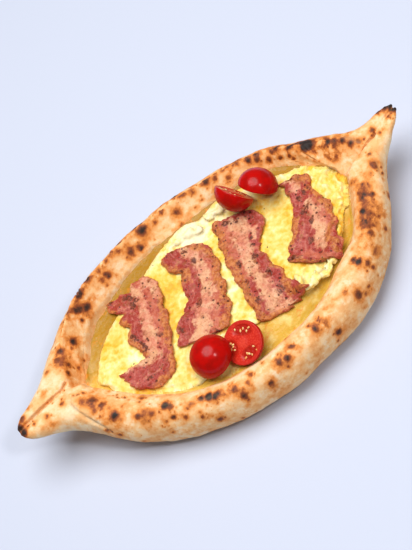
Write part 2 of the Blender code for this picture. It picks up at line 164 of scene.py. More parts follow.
# ---- Omelette ----
# Places rich in yolk, or paler where the amount is negative: x, y, radius, amount.
YOLK = (
    (-84, 14, 9, 0.7), (-86, -4, 8, 0.5), (-32, 16, 7, 1), (-31, 28, 6, 0.8), (-40, -5, 7, 0.8),
    (-57, -38, 7, 0.6), (-88, -33, 6, 0.7), (13, 13, 6, 0.8), (44, -7, 8, 0.7), (41, -33, 7, 0.9),
    (63, 16, 8, 0.6), (68, -5, 7, 0.7), (90, -38, 6, 0.7), (100, -32, 6, 0.6), (115, -1, 7, 0.5),
    (-6, -44, 5, 0.5), (9, 43, 8, -1), (0, 43, 7, -0.8), (6, -10, 7, -0.9), (-79, -9, 8, -0.7),
    (29, 46, 6, -0.8), (-71, -44, 7, -0.8), (35, -50, 8, -0.6), (60, -50, 7, -0.6), (84, 30, 5, -0.5),
)
NEAR_SPILL = 7  # how far the egg runs out over the cheese at the near left
END_SPILL = 4  # the same at its right end
FOLD_SEED = 1  # of the unevenness of the folds
# Loose folds and curds on it: x, y, direction in degrees, length, radius, height.
FOLDS = (
    (47, -55, 20, 17, 3.4, 0.6), (58, -56, -8, 15, 3, 0.9), (66, -51, 35, 13, 3, 0.8),
    (40, -48, 60, 12, 2.6, 0.6), (75, -44, 50, 14, 2.8, 0.6), (83, -38, 40, 12, 2.4, 0.6),
    (6, 43, 10, 10, 3, 0.9), (-3, 44, -20, 9, 2.8, 0.8), (13, 39, 40, 8, 2.6, 0.8),
    (25, 43, -30, 9, 2.8, 0.9), (33, 41, 15, 10, 2.8, 0.8), (-12, 42, 15, 9, 2.4, 0.7),
)

# ---- Bacon ----
# Rungs of each rasher from one end to the other: x and y of its left edge, then of its
# right edge.
RASHERS = {
    "bacon_1": (
        (-73.5, 44.5, -37, 41), (-71, 32, -33, 24.5), (-71, 17.5, -37, 13), (-74.5, 2, -41, 0.5),
        (-71.5, -12.5, -48, -13.5), (-75.5, -14.5, -60, -35.5), (-83.5, -13, -74.5, -39.5),
        (-94, -11, -90.5, -29),
    ),
    "bacon_2": (
        (-21, 41, -7, 38), (-22, 31.5, 7.5, 29.5), (-19.5, 18.5, 11, 14), (-24.5, 0.5, 6, -1),
        (-32, -6, 0.5, -16), (-43.5, -14.5, -5, -27.5), (-49, -26, -15, -38.5),
        (-40, -31, -21.5, -36.5),
    ),
    "bacon_3": (
        (22.5, 36.5, 45.5, 26), (19, 24.5, 54, 14), (14.5, 9, 45.5, 1.5), (11, -3.5, 37.5, -6),
        (8.5, -18.5, 36, -20), (6, -35.5, 37.5, -34), (5, -51, 39.5, -48.5), (25, -58, 44, -58),
    ),
    "bacon_4": (
        (75.5, 24, 88.5, 21), (76.5, 15.5, 95.5, 14), (73, 4, 92.5, 1.5), (65, -8.5, 93.5, -13),
        (57, -18.5, 90, -26), (47, -27, 83, -40.5), (47.5, -35.5, 78, -52.5), (60.5, -47, 71.5, -56),
    ),
}
RASHER_LENGTH = 85.0  # about how long each rasher is
WAVE_ROWS = 19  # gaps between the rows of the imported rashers, which set the waves' length
# Streaks in each rasher, by kind: paths of distance along it, distance across it from its
# left edge (both as shares) and half width. A path of one place is a round patch.
STREAKS = {
    "bacon_1": {
        "fat": (
            (
                (0, 0.62, 4.5), (0.14, 0.57, 4.5), (0.29, 0.53, 4), (0.43, 0.5, 5.5), (0.57, 0.35, 5),
                (0.72, 0.2, 4),
            ),
            ((0, 0.92, 3.5), (0.14, 0.92, 4), (0.25, 0.93, 3)), ((0.74, 0.05, 1.8), (0.92, 0.06, 1.5)),
        ),
        "pink": (
            ((0, 0.78, 2.2), (0.14, 0.76, 2.4), (0.29, 0.76, 4), (0.43, 0.72, 4), (0.57, 0.66, 3.5)),
        ),
        "rind": (
            ((0, 0.02, 2.5), (0.12, 0.02, 2.5)), ((0.24, 0.03, 3.5), (0.31, 0.04, 3)),
            ((0.36, 0.05, 2.5), (0.45, 0.05, 3.5), (0.58, 0.08, 3)),
            ((0.27, 0.98, 3), (0.43, 0.95, 4), (0.57, 0.92, 4.5), (0.72, 0.95, 4), (0.88, 0.97, 3.5)),
        ),
        "sear": (
            ((0.08, 0.42, 3.5), (0.15, 0.5, 3)), ((0.17, 0.36, 2.2), (0.2, 0.38, 2)),
            ((0.4, 0.16, 1.8), (0.46, 0.18, 1.6), (0.53, 0.17, 1.8)),
            ((0.52, 0.68, 2), (0.53, 0.74, 1.5)), ((0.83, 0.62, 2.2),), ((0.9, 0.85, 2),),
            ((0.03, 0.12, 2),),
        ),
    },
    "bacon_2": {
        "fat": (
            (
                (0.1, 0.76, 5), (0.29, 0.57, 4), (0.43, 0.56, 4.5), (0.57, 0.55, 6), (0.71, 0.52, 6.5),
                (1, 0.6, 5),
            ),
            ((0.14, 0.82, 4), (0.22, 0.8, 3.5)),
        ),
        "pink": (
            ((0.27, 0.78, 3), (0.43, 0.77, 3.2), (0.57, 0.8, 3.2), (0.71, 0.74, 4), (0.88, 0.8, 3.5)),
            ((0.76, 0.45, 2.6), (0.9, 0.46, 2.6)),
        ),
        "rind": (
            ((0.02, 0.03, 3), (0.14, 0.03, 2.5)), ((0.22, 0.06, 4), (0.3, 0.14, 5)),
            (
                (0.08, 0.97, 2.5), (0.29, 0.95, 4), (0.43, 0.94, 4.5), (0.57, 0.94, 4),
                (0.71, 0.96, 3.5), (0.88, 0.97, 3),
            ),
        ),
        "sear": (
            ((0.13, 0.62, 1.8),), ((0.25, 0.5, 2.2),), ((0.26, 0.08, 2),),
            ((0.55, 0.36, 2), (0.59, 0.4, 2)), ((0.74, 0.1, 1.8),),
        ),
    },
    "bacon_3": {
        "fat": (
            (
                (0.08, 0.42, 3), (0.2, 0.42, 4.5), (0.29, 0.5, 5.5), (0.43, 0.58, 4.2),
                (0.57, 0.54, 4.8), (0.84, 0.46, 5.5), (0.93, 0.3, 4),
            ),
            ((0.1, 0.62, 2.2), (0.2, 0.62, 3), (0.29, 0.58, 3)), ((0.24, 0.8, 2), (0.3, 0.8, 2)),
        ),
        "pink": (
            ((0.14, 0.2, 3.4), (0.29, 0.24, 4), (0.43, 0.36, 3.6), (0.57, 0.3, 3)),
        ),
        "rind": (
            (
                (0, 0.12, 5), (0.14, 0.05, 4), (0.29, 0.05, 3.8), (0.43, 0.12, 4.6), (0.71, 0.08, 4),
                (0.9, 0.1, 5),
            ),
            ((0.62, 0.99, 2.2), (0.75, 0.99, 2.6), (0.97, 0.98, 3)),
        ),
        "sear": (
            ((0.07, 0.33, 2),), ((0.1, 0.52, 2),), ((0.29, 0.73, 1.8),),
            ((0.49, 0.77, 2.6), (0.5, 0.82, 2)), ((0.46, 0.3, 2.2),), ((0.6, 0.22, 2.2),),
            ((0.66, 0.77, 2),), ((0.76, 0.2, 2.4),), ((0.8, 0.72, 2.6),),
        ),
    },
    "bacon_4": {
        "fat": (
            ((0.06, 0.45, 2.5), (0.2, 0.42, 3)),
            ((0.38, 0.55, 3.4), (0.5, 0.6, 4), (0.62, 0.66, 5), (0.76, 0.66, 5)),
        ),
        "pink": (
            ((0.38, 0.8, 3.4), (0.57, 0.86, 3.6), (0.71, 0.88, 3.8)),
            ((0.78, 0.38, 4), (0.88, 0.55, 5), (0.96, 0.7, 3.5)),
        ),
        "rind": (
            ((0, 0.85, 5), (0.14, 0.82, 5.5), (0.25, 0.84, 4)),
            ((0.29, 0.94, 3.5), (0.43, 0.96, 3), (0.57, 0.97, 3), (0.88, 0.97, 4)),
            ((0.44, 0.05, 4.5), (0.55, 0.06, 5), (0.62, 0.06, 3)), ((0.8, 0.1, 3.5), (0.92, 0.2, 4)),
        ),
        "sear": (
            ((0.29, 0.34, 2),), ((0.27, 0.6, 2.5), (0.29, 0.66, 2)), ((0.25, 0.86, 2),),
            ((0.41, 0.36, 3), (0.43, 0.44, 2.4)), ((0.52, 0.5, 2.4),),
            ((0.66, 0.44, 2.8), (0.69, 0.46, 2.4)), ((0.05, 0.5, 2),), ((0.78, 0.08, 3.5),),
        ),
    },
}
# Bites out of a rasher: which end or edge, place on it, reach (both as shares), depth.
BITES = {
    "bacon_1": (
        ("start", 0.52, 0.1, 5), ("left", 0.19, 0.025, 4.5), ("left", 0.33, 0.03, 2.5),
        ("right", 0.36, 0.03, 1.5),
    ),
    "bacon_2": (
        ("left", 0.27, 0.02, 2.5), ("right", 0.05, 0.04, 2.5), ("right", 0.76, 0.03, -2),
    ),
    "bacon_3": (
        ("start", 0.42, 0.06, 1.5), ("end", 0.3, 0.1, 3), ("end", 0.62, 0.08, 2.5),
        ("right", 0.36, 0.03, 2),
    ),
    "bacon_4": (
        ("left", 0.33, 0.03, 2), ("right", 0.3, 0.03, 2), ("start", 0.5, 0.1, 1.5),
    ),
}

# ---- Tomatoes ----
HALVES = sorted(name for name in NODES if name.startswith("tomato"))
# Seed pockets in a cut: direction and half width in degrees.
POCKETS = ((48, 52), (160, 40), (264, 44))
# Rows of seeds in a pocket: distance from the middle as a share of the radius, and count.
SEED_ROWS = ((0.72, 5), (0.52, 3))
CUT_SEED = 11  # of the places of the seeds


def smooth(value, start, end):
    """0 before start, 1 after end, and an even S between them."""
    share = np.clip((value - start) / (end - start), 0, 1)
    return share * share * (3 - 2 * share)


def cloud(points, size, octaves=3, shift=0.0):
    """Soft noise between about -1 and 1, with lumps of that size."""
    move = Vector((shift, 0.7 * shift, -0.4 * shift))
    places = [Vector(p) / size + move for p in points.tolist()]
    return np.array([noise.fractal(p, 1.0, 2.0, octaves) for p in places])


def along(points, path):
    """Distance from each point to a path, and the nearest place on it from 0 to 1."""
    nearest = np.full(len(points), 1e9)
    place = np.zeros(len(points))
    for k, (start, end) in enumerate(zip(path, path[1:])):
        start, span = np.array(start, float), np.subtract(end, start).astype(float)
        share = np.clip((points - start) @ span / (span @ span), 0, 1)
        away = np.linalg.norm(points - start - share[:, None] * span, axis=1)
        closer = away < nearest
        nearest[closer] = away[closer]
        place[closer] = (k + share[closer]) / (len(path) - 1)
    return nearest, place


def points_of(mesh):
    """A mesh's points in millimetres."""
    out = np.empty(len(mesh.vertices) * 3)
    mesh.vertices.foreach_get("co", out)
    return out.reshape(-1, 3) / MM


def normals_of(mesh):
    """The outward direction at each of a mesh's points."""
    out = np.empty(len(mesh.vertices) * 3)
    mesh.vertex_normals.foreach_get("vector", out)
    return out.reshape(-1, 3)


def move_points(mesh, points):
    """Moves a mesh's points to places given in millimetres."""
    mesh.vertices.foreach_set("co", (points * MM).ravel())
    mesh.update()


def search_tree(mesh):
    """A tree for rays and nearest points on a mesh, in millimetres."""
    corners = [Vector(p) for p in points_of(mesh).tolist()]
    return BVHTree.FromPolygons(corners, [tuple(p.vertices) for p in mesh.polygons])


def height_at(tree, x, y):
    """Height of a surface at x and y, or 0 beside it."""
    hit = tree.ray_cast(Vector((x, y, ABOVE)), Vector((0, 0, -1)))[0]
    return hit.z if hit else 0.0


def store(mesh, name, values):
    """Keeps one number for each point, for the material to read."""
    kept = mesh.attributes.new(name, "FLOAT", "POINT")
    kept.data.foreach_set("value", np.asarray(values, float))


def finished(name, mesh, finish, stands_for):
    """Makes a mesh a piece of the scene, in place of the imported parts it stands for."""
    mesh.name = name
    mesh.materials.clear()
    mesh.materials.append(finish)
    mesh.shade_smooth()
    piece = bpy.data.objects.new(name, mesh)
    bpy.context.scene.collection.objects.link(piece)
    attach(piece, "root")
    if stands_for:
        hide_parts(*stands_for)
    DRESSED[name] = piece


def grid_mesh(name, top, bottom):
    """A closed slab between two grids of points, joined round their edges."""
    rows, columns = top.shape[:2]
    size = rows * columns
    points = np.concatenate([top.reshape(-1, 3), bottom.reshape(-1, 3)])
    row, column = np.meshgrid(np.arange(rows - 1), np.arange(columns - 1), indexing="ij")
    a = (row * columns + column).ravel()
    upper = np.stack([a, a + 1, a + columns + 1, a + columns], 1)
    faces = [*upper.tolist(), *(upper[:, ::-1] + size).tolist()]
    edge = [(0, k) for k in range(columns)]
    edge += [(k, columns - 1) for k in range(1, rows)]
    edge += [(rows - 1, k) for k in range(columns - 2, -1, -1)]
    edge += [(k, 0) for k in range(rows - 2, 0, -1)]
    loop = [r * columns + c for r, c in edge]
    for here, there in zip(loop, loop[1:] + loop[:1]):
        faces.append((there, here, here + size, there + size))
    mesh = bpy.data.meshes.new(name)
    mesh.from_pydata((points * MM).tolist(), [], faces)
    outward(mesh)
    return mesh


def outward(mesh):
    """Turns all faces of a closed mesh outwards."""
    shape = bmesh.new()
    shape.from_mesh(mesh)
    bmesh.ops.recalc_face_normals(shape, faces=shape.faces)
    shape.to_mesh(mesh)
    shape.free()


def made_real(model):
    """The mesh that an object's modifiers make of it. The object is removed."""
    graph = bpy.context.evaluated_depsgraph_get()
    mesh = bpy.data.meshes.new_from_object(model.evaluated_get(graph))
    bpy.data.objects.remove(model)
    return mesh


def even_net(mesh, cell, apart=0.001):
    """A mesh's surface as an even net of small faces, with closer points merged first."""
    mesh.materials.clear()
    shape = bmesh.new()
    shape.from_mesh(mesh)
    bmesh.ops.remove_doubles(shape, verts=shape.verts, dist=apart * MM)
    shape.to_mesh(mesh)
    shape.free()
    model = bpy.data.objects.new("net", mesh)
    bpy.context.scene.collection.objects.link(model)
    net = model.modifiers.new("net", "REMESH")
    net.mode = "VOXEL"
    net.voxel_size = cell * MM
    return made_real(model)


def relax(mesh, rounds):
    """Evens out the steps that the net leaves."""
    points = points_of(mesh)
    edges = np.empty(len(mesh.edges) * 2, int)
    mesh.edges.foreach_get("vertices", edges)
    a, b = edges.reshape(-1, 2).T
    count = np.bincount(np.concatenate([a, b]), minlength=len(points))[:, None]
    for _ in range(rounds):
        total = np.zeros_like(points)
        np.add.at(total, a, points[b])
        np.add.at(total, b, points[a])
        points = 0.5 * points + 0.5 * total / np.maximum(count, 1)
    move_points(mesh, points)


def split_near(mesh, paths, reaches):
    """Splits the faces close to some paths, so that fine cracks have points to stand on."""
    for reach in reaches:
        shape = bmesh.new()
        shape.from_mesh(mesh)
        places = points_of(mesh)
        close = np.min([along(places, path)[0] for path in paths], axis=0) < reach
        edges = [e for e in shape.edges if all(close[v.index] for v in e.verts)]
        bmesh.ops.subdivide_edges(shape, edges=edges, cuts=1, use_grid_fill=True)
        many = [face for face in shape.faces if len(face.verts) > 4]
        bmesh.ops.triangulate(shape, faces=many)
        shape.to_mesh(mesh)
        shape.free()


class Finish:
    """A material built up from nodes on the piece's own coordinates."""

    def __init__(self, name, **sockets):
        """Starts a material, with its shader's sockets set by their names."""
        self.material = bpy.data.materials.new(name)
        self.material.use_nodes = True
        self.tree = self.material.node_tree
        self.shader = self.tree.nodes["Principled BSDF"]
        self.place = self.tree.nodes.new("ShaderNodeTexCoord").outputs["Object"]
        for socket, value in sockets.items():
            self.shader.inputs[socket.replace("_", " ")].default_value = value

    def give(self, socket, value):
        """Links another node's output to a socket, or sets a number or colour on it."""
        if isinstance(value, bpy.types.NodeSocket):
            self.tree.links.new(value, socket)
        elif socket.type == "RGBA":
            socket.default_value = (*value, 1)
        else:
            socket.default_value = value

    def noise(self, size, detail=3.0, roughness=0.5, place=None):
        """Cloudy noise with lumps of that size in millimetres, or of a kept place's unit."""
        node = self.tree.nodes.new("ShaderNodeTexNoise")
        self.give(node.inputs["Vector"], place or self.place)
        self.give(node.inputs["Scale"], 1 / (size * MM) if place is None else 1 / size)
        self.give(node.inputs["Detail"], detail)
        self.give(node.inputs["Roughness"], roughness)
        return node.outputs[0]

    def cells(self, size):
        """Distance from the middles of round cells of that size, where 1 is that size."""
        node = self.tree.nodes.new("ShaderNodeTexVoronoi")
        self.give(node.inputs["Vector"], self.place)
        self.give(node.inputs["Scale"], 1 / (size * MM))
        return node.outputs["Distance"]

    def kept(self, name):
        """The numbers stored on the mesh under that name."""
        node = self.tree.nodes.new("ShaderNodeAttribute")
        node.attribute_name = name
        return node.outputs["Fac"]

    def math(self, operation, *values):
        """One Math node over two or three values."""
        node = self.tree.nodes.new("ShaderNodeMath")
        node.operation = operation
        for socket, value in zip(node.inputs, values):
            self.give(socket, value)
        return node.outputs[0]

    def times(self, value, factor):
        """One value times another."""
        return self.math("MULTIPLY", value, factor)

    def plus(self, value, added):
        """One value plus another."""
        return self.math("ADD", value, added)

    def times_plus(self, value, factor, added):
        """The first value times the second, plus the third."""
        return self.math("MULTIPLY_ADD", value, factor, added)

    def range(self, value, low, high, to_low=0.0, to_high=1.0):
        """An even S from one number to another while a value goes from low to high."""
        node = self.tree.nodes.new("ShaderNodeMapRange")
        node.interpolation_type = "SMOOTHSTEP"
        for socket, given in zip(node.inputs, (value, low, high, to_low, to_high)):
            self.give(socket, given)
        return node.outputs[0]

    def ramp(self, value, *stops):
        """Colours at places from 0 to 1: (place, colour)."""
        node = self.tree.nodes.new("ShaderNodeValToRGB")
        self.give(node.inputs[0], value)
        points = node.color_ramp.elements
        for point, (place, colour) in zip((points[0], points[-1]), (stops[0], stops[-1])):
            point.position = place
            point.color = (*colour, 1)
        for place, colour in stops[1:-1]:
            points.new(place).color = (*colour, 1)
        return node.outputs[0]

    def mix(self, share, below, above):
        """A share of one colour laid over another."""
        node = self.tree.nodes.new("ShaderNodeMix")
        node.data_type = "RGBA"
        self.give(node.inputs[0], share)
        self.give(node.inputs[6], below)
        self.give(node.inputs[7], above)
        return node.outputs[2]

    def relief(self, height, depth, strength=1.0):
        """Fine relief, that deep in millimetres."""
        node = self.tree.nodes.new("ShaderNodeBump")
        self.give(node.inputs["Height"], height)
        self.give(node.inputs["Distance"], depth * MM)
        self.give(node.inputs["Strength"], strength)
        self.tree.links.new(node.outputs[0], self.shader.inputs["Normal"])

    def done(self, colour, roughness=None):
        """The finished material, with its colour and, where it varies, its roughness."""
        self.give(self.shader.inputs["Base Color"], colour)
        if roughness is not None:
            self.give(self.shader.inputs["Roughness"], roughness)
        return self.material


# ---- Sizes and colours that a user would change ----


def number(name, about, default, **more):
    """A property that holds one number."""
    return FloatProperty(name=name, description=about, default=default, **more)


def tint(name, about, default):
    """A property that holds a colour."""
    return FloatVectorProperty(
        name=name, description=about, default=default, size=3, min=0, max=1, subtype="COLOR"
    )


class KhachapuriStage(bpy.types.PropertyGroup):
    """The camera, the lights and the table"""

    elevation: number("Elevation", "Camera's height above the table", math.radians(55), subtype="ANGLE")
    roll: number("Roll", "Turn of the picture", math.radians(40.726), subtype="ANGLE")
    distance: number("Distance", "From the camera to what it looks at", 1.0, unit="LENGTH")
    lens: number("Lens", "Focal length in millimetres", 95.45)
    key: number("Key light", "Power of the soft light overhead, in watts", 29.0)
    fill: number("Fill light", "Power of the small light beside the camera, in watts", 3.6)
    sky: number("Sky", "Strength of the light from all round", 0.16)
    floor: tint("Floor", "Colour of the table", (0.568, 0.602, 0.712))


class KhachapuriCrust(bpy.types.PropertyGroup):
    """The shape and the browning of the dough"""

    cell: number("Net", "Width of the surface's small faces, mm", 1.3)
    lumps: number("Lumps", "Height of the hand-rolled unevenness, mm", 0.55)
    grain: number("Grain", "Height of the fine unevenness, mm", 0.16)
    blister: number("Blisters", "How far a scorched spot stands out, mm", 0.5)
    creases: number("Creases", "Depth of the creases and seams, as a share of their usual depth", 1.0)
    freckles: IntProperty(name="Freckles", description="Number of small baked spots", default=360)
    seed: IntProperty(name="Seed", description="Places of the small spots", default=7)
    pale: tint("Pale", "Crust that stayed pale", (0.91, 0.69, 0.42))
    tan: tint("Tan", "Crust that took some colour", (0.87, 0.47, 0.19))
    golden: tint("Golden", "Crust that browned", (0.74, 0.25, 0.050))
    brown: tint("Brown", "Crust that browned deeply", (0.30, 0.070, 0.017))
    char: tint("Char", "Scorched crust", (0.072, 0.026, 0.014))


class KhachapuriFilling(bpy.types.PropertyGroup):
    """The cheese and the omelette"""

    climb: number("Climb", "How far the cheese climbs up the crust, mm", 1.6)
    tongue: number("Tongues", "How far the cheese runs on into the horns' valleys, mm", 9.0)
    egg_cell: number("Omelette net", "Width of the omelette's small faces, mm", 0.9)
    pleats: number("Pleats", "Height of the omelette's folds at its right end, mm", 1.2)
    cheese: tint("Cheese", "Melted cheese", (0.64, 0.37, 0.050))
    curd: tint("Curd", "Paler lumps in the cheese", (0.80, 0.60, 0.20))
    # Painted shade: the far rim's shadow on the cheese beside it, given as this darker colour.
    shaded: tint("Shaded cheese", "Cheese along the far rim, darkened as painted shade of the rim", (0.33, 0.15, 0.002))
    oil: tint("Oil", "Orange spots of butter in the cheese", (0.64, 0.22, 0.015))
    cream: tint("Cream", "Egg that is pale", (0.89, 0.80, 0.52))
    egg: tint("Egg", "The omelette's main colour", (0.88, 0.70, 0.22))
    yolk: tint("Yolk", "Egg that is rich in yolk", (0.86, 0.50, 0.045))


class KhachapuriBacon(bpy.types.PropertyGroup):
    """The rashers and the pepper on them"""

    thickness: number("Thickness", "Thickness of a rasher, mm", 2.0)
    ripple: number("Ripple", "Height of a rasher's waves, mm", 1.1)
    frill: number("Frill", "How far the edges wander, mm", 1.1)
    pepper: number("Pepper", "Size of a speck of pepper, mm", 0.42)
    specks: IntProperty(name="Specks", description="Specks of pepper on each rasher", default=34)
    seed: IntProperty(name="Seed", description="Places of the pepper", default=3)
    lean: tint("Lean", "Fried lean meat", (0.37, 0.037, 0.023))
    rose: tint("Rose", "Lean meat that stayed rosy", (0.50, 0.105, 0.078))
    fat: tint("Fat", "Fried fat", (0.77, 0.40, 0.205))
    pink: tint("Pink", "Meat streaked with fat", (0.57, 0.145, 0.074))
    rind: tint("Rind", "Browned edges", (0.62, 0.21, 0.050))
    sear: tint("Sear", "Scorched meat", (0.115, 0.020, 0.007))


class KhachapuriTomato(bpy.types.PropertyGroup):
    """The tomato halves and their seeds"""

    rind: number("Wall", "Thickness of the flesh under the skin, mm", 2.3)
    pocket: number("Pockets", "Depth of the seed pockets, mm", 0.7)
    seed_length: number("Seeds", "Length of a seed, mm", 2.2)
    skin: tint("Skin", "Ripe skin", (0.47, 0.0025, 0.0008))
    flesh: tint("Flesh", "Cut flesh", (0.52, 0.014, 0.007))
    jelly: tint("Jelly", "Jelly round the seeds", (0.34, 0.008, 0.003))
    kernel: tint("Kernel", "A seed", (0.80, 0.30, 0.06))


# ---- Crust ----


class Boat:
    """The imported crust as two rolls, each measured at stations along the boat."""

    END = 168.0  # of the stations, just inside the horns' tips
    STEP = 2.0  # between stations
    REACH = 105.0  # across, past both sides
    LIP = 8.0  # how far below its crest a roll's inner side is measured

    def __init__(self):
        self.tree = search_tree(NODES["crust"].data)
        self.x = np.arange(-self.END, self.END + 0.5, self.STEP)
        self.middle = np.zeros(len(self.x))
        self.rolls = {FAR: np.zeros((len(self.x), 3)), NEAR: np.zeros((len(self.x), 3))}
        across = np.arange(-self.REACH, self.REACH + 0.5)
        for k, x in enumerate(self.x):
            heights = np.array([height_at(self.tree, x, y) for y in across])
            solid = across[heights > 0]
            self.middle[k] = (solid[0] + solid[-1]) / 2
            for side, rows in self.rolls.items():
                off = (across - self.middle[k]) * side
                crest = heights[off >= 0].max()
                inner = off[(off >= 0) & (heights > crest - self.LIP)].min()
                radius = ((solid[-1] - solid[0]) / 2 - inner) / 2
                rows[k] = (side * (inner + radius), crest - radius, radius)

    def middle_at(self, x):
        """The y of the boat's middle line."""
        return np.interp(x, self.x, self.middle)

    def crest(self, points):
        """How far inside its rim's crest each point lies, and that rim's side."""
        side = np.sign(points[:, 1] - self.middle_at(points[:, 0]))
        offs = [np.interp(points[:, 0], self.x, self.rolls[rim][:, 0]) for rim in (FAR, NEAR)]
        crest = self.middle_at(points[:, 0]) + np.where(side > 0, *offs)
        return (crest - points[:, 1]) * side, side

    def on_roll(self, side, x, turn):
        """The crust's point at some degrees round a roll: 0 is its top, 90 its outer side."""
        off, z, radius = (float(np.interp(x, self.x, row)) for row in self.rolls[side].T)
        way = Vector((0, side * math.sin(math.radians(turn)), math.cos(math.radians(turn))))
        middle = Vector((x, self.middle_at(x) + off, z))
        return self.tree.find_nearest(middle + radius * way)[0]

    def on_middle(self, x, off):
        """The crust's point at a distance from the middle line, seen from above."""
        y = self.middle_at(x) + off
        beside = 45.0  # a height near the horns' tips, for a place past them
        return self.tree.find_nearest(Vector((x, y, height_at(self.tree, x, y) or beside)))[0]


def crease_paths(boat):
    """Each crease and seam as path, depth, width, and whether its ends stay open."""
    paths = []
    for side, depth, width, path in CREASES:
        paths.append(([boat.on_roll(side, *place) for place in path], depth, width, False))
    for depth, width, path in SEAMS:
        paths.append(([boat.on_middle(*place) for place in path], depth, width, True))
    return paths


def faces_at(points, out_slope, in_slope, path, side=FAR):
    """Height of two slopes that meet along a path, and how much they count at each point."""
    x, y, z = np.array(path, float).T
    off = (points[:, 1] - np.interp(points[:, 0], x, y)) * side
    height = np.interp(points[:, 0], x, z) + np.where(off > 0, out_slope, in_slope) * off
    ends = smooth(points[:, 0], x[0] - 1, x[0] + 3) * (1 - smooth(points[:, 0], x[-1] - 3, x[-1] + 1))
    return height, ends


def rounded(over, soft=1.5):
    """What is over 0, with a soft start."""
    over = np.maximum(over, -soft)
    return np.where(over < soft, (over + soft) ** 2 / (4 * soft), over)


def kneaded(points, normals, boat):
    """The crust's points with the banks laid in and the valleys pressed out."""
    out = points.copy()
    deep, rim = boat.crest(points)
    skin = smooth(normals[:, 2], -0.7, -0.5) * smooth(points[:, 2], 11, 14) * smooth(deep, 0, 3)
    for side, out_slope, in_slope, path in BANKS:
        height, ends = faces_at(points, out_slope, in_slope, path, side)
        out[:, 2] += rounded(height - out[:, 2]) * ends * skin * (rim == side)
    for out_slope, in_slope, path in VALLEYS:
        height, ends = faces_at(points, out_slope, -in_slope, path)
        out[:, 2] -= rounded(out[:, 2] - height) * ends
    return out


def toast(points, normals, side, deep):
    """Broad browning: most along the far rim's top and outer side, little on the near hull; low down and
    inside the hollow an even tan, which on the inner walls is painted shade.
    """
    out, up = normals[:, 1] * side, normals[:, 2]
    drift = np.clip(0.5 + 0.5 * cloud(points, 16.0, 3, 11), 0, 1)
    far = smooth(out, -0.62, -0.15) * smooth(up, -0.5, 0.2) * (0.15 + 0.32 * drift)
    near = smooth(out, -0.6, 0.0) * smooth(up, -0.3, 0.4) * (0.03 + 0.24 * drift)
    horn = smooth(np.abs(points[:, 0]), 118, 128)
    left = 1 - smooth(points[:, 0], -112, -84)
    toast_and_shade = np.where(side > 0, far * (1 - 0.65 * left), near)
    outer = smooth(points[:, 2], 24, 37) * (1 - smooth(deep, 6, 13))
    # Below the rims' tops and inside the hollow the value is an even 0.13; on the hollow's inner walls
    # this tan is painted shade.
    return (toast_and_shade * (1 - 0.6 * horn) - 0.03 * horn) * outer + 0.13 * (1 - outer)


def spots(boat, points, toast_and_shade, look):
    """Every spot: the listed scorches, small ones round them, and freckles anywhere."""
    chance = np.random.default_rng(look.seed)
    listed = []
    for side, rows in SCORCHES.items():
        for x, turn, radius, bake in rows:
            listed.append((boat.on_roll(side, x, turn), radius, bake))
    rows = list(listed)
    for place, radius, bake in listed:
        for _ in range(2):
            way = Vector(chance.normal(size=3)).normalized()
            near = boat.tree.find_nearest(place + radius * (1.4 + chance.random()) * way)[0]
            small = radius * (0.22 + 0.25 * chance.random())
            rows.append((near, small, bake * (0.45 + 0.35 * chance.random())))
    odds = np.maximum(toast_and_shade, 0) + 0.06
    odds /= odds.sum()
    for k in chance.choice(len(points), look.freckles, replace=False, p=odds):
        size = 0.5 + 1.3 * chance.random() ** 2.5
        rows.append((Vector(points[k]), size, 0.30 + 0.45 * chance.random()))
    return rows


def bake(points, rows):
    """How far spots have baked each point, from 0 to 1, and how far it blistered."""
    warp = np.stack([cloud(points, 4.5, 2, shift) for shift in (0, 31, 57)], 1)
    places = points + 0.4 * warp
    order = np.argsort(places[:, 0])
    places = places[order]
    heat, rise = np.zeros(len(points)), np.zeros(len(points))
    for middle, radius, hot in rows:
        reach = 3.0 * radius
        first, last = np.searchsorted(places[:, 0], (middle.x - reach, middle.x + reach))
        away = np.linalg.norm(places[first:last] - middle, axis=1) / radius
        core = SPOT_CORE[0] * hot * np.exp(-((away / SPOT_CORE[1]) ** 3))
        halo = min(SPOT_HALO[0] * hot, HALO_MOST) * np.exp(-((away / SPOT_HALO[1]) ** 2))
        spot = order[first:last]
        heat[spot] = np.maximum(heat[spot], np.maximum(core, halo))
        if hot > 0.7 and radius > 1.2:
            rise[spot] = np.maximum(rise[spot], np.exp(-((away / 0.8) ** 2)))
    return heat, rise


def crease_dips_and_shade(points, boat, wander, look):
    """How deep the creases and seams press in at each point, and how much painted shade darkens them."""
    dips, crease_shade = [], np.zeros(len(points))
    for path, depth, width, opens in crease_paths(boat):
        away, place = along(points, path)
        away = away + wander * min(width, 1.0)
        ends = 1 if opens else smooth(place, 0, 0.12) * (1 - smooth(place, 0.85, 1))
        deep = look.creases * depth * ends
        lip = 0.18 * np.exp(-((away / width - 2.2) ** 2))
        dips.append(deep * (np.exp(-((away / width) ** 2)) - lip))
        # How strongly painted shade darkens this crease or seam.
        crease_shade = np.maximum(crease_shade, np.minimum(deep, 1.0) * np.exp(-((away / (0.8 * width)) ** 2)))
    return dips, crease_shade


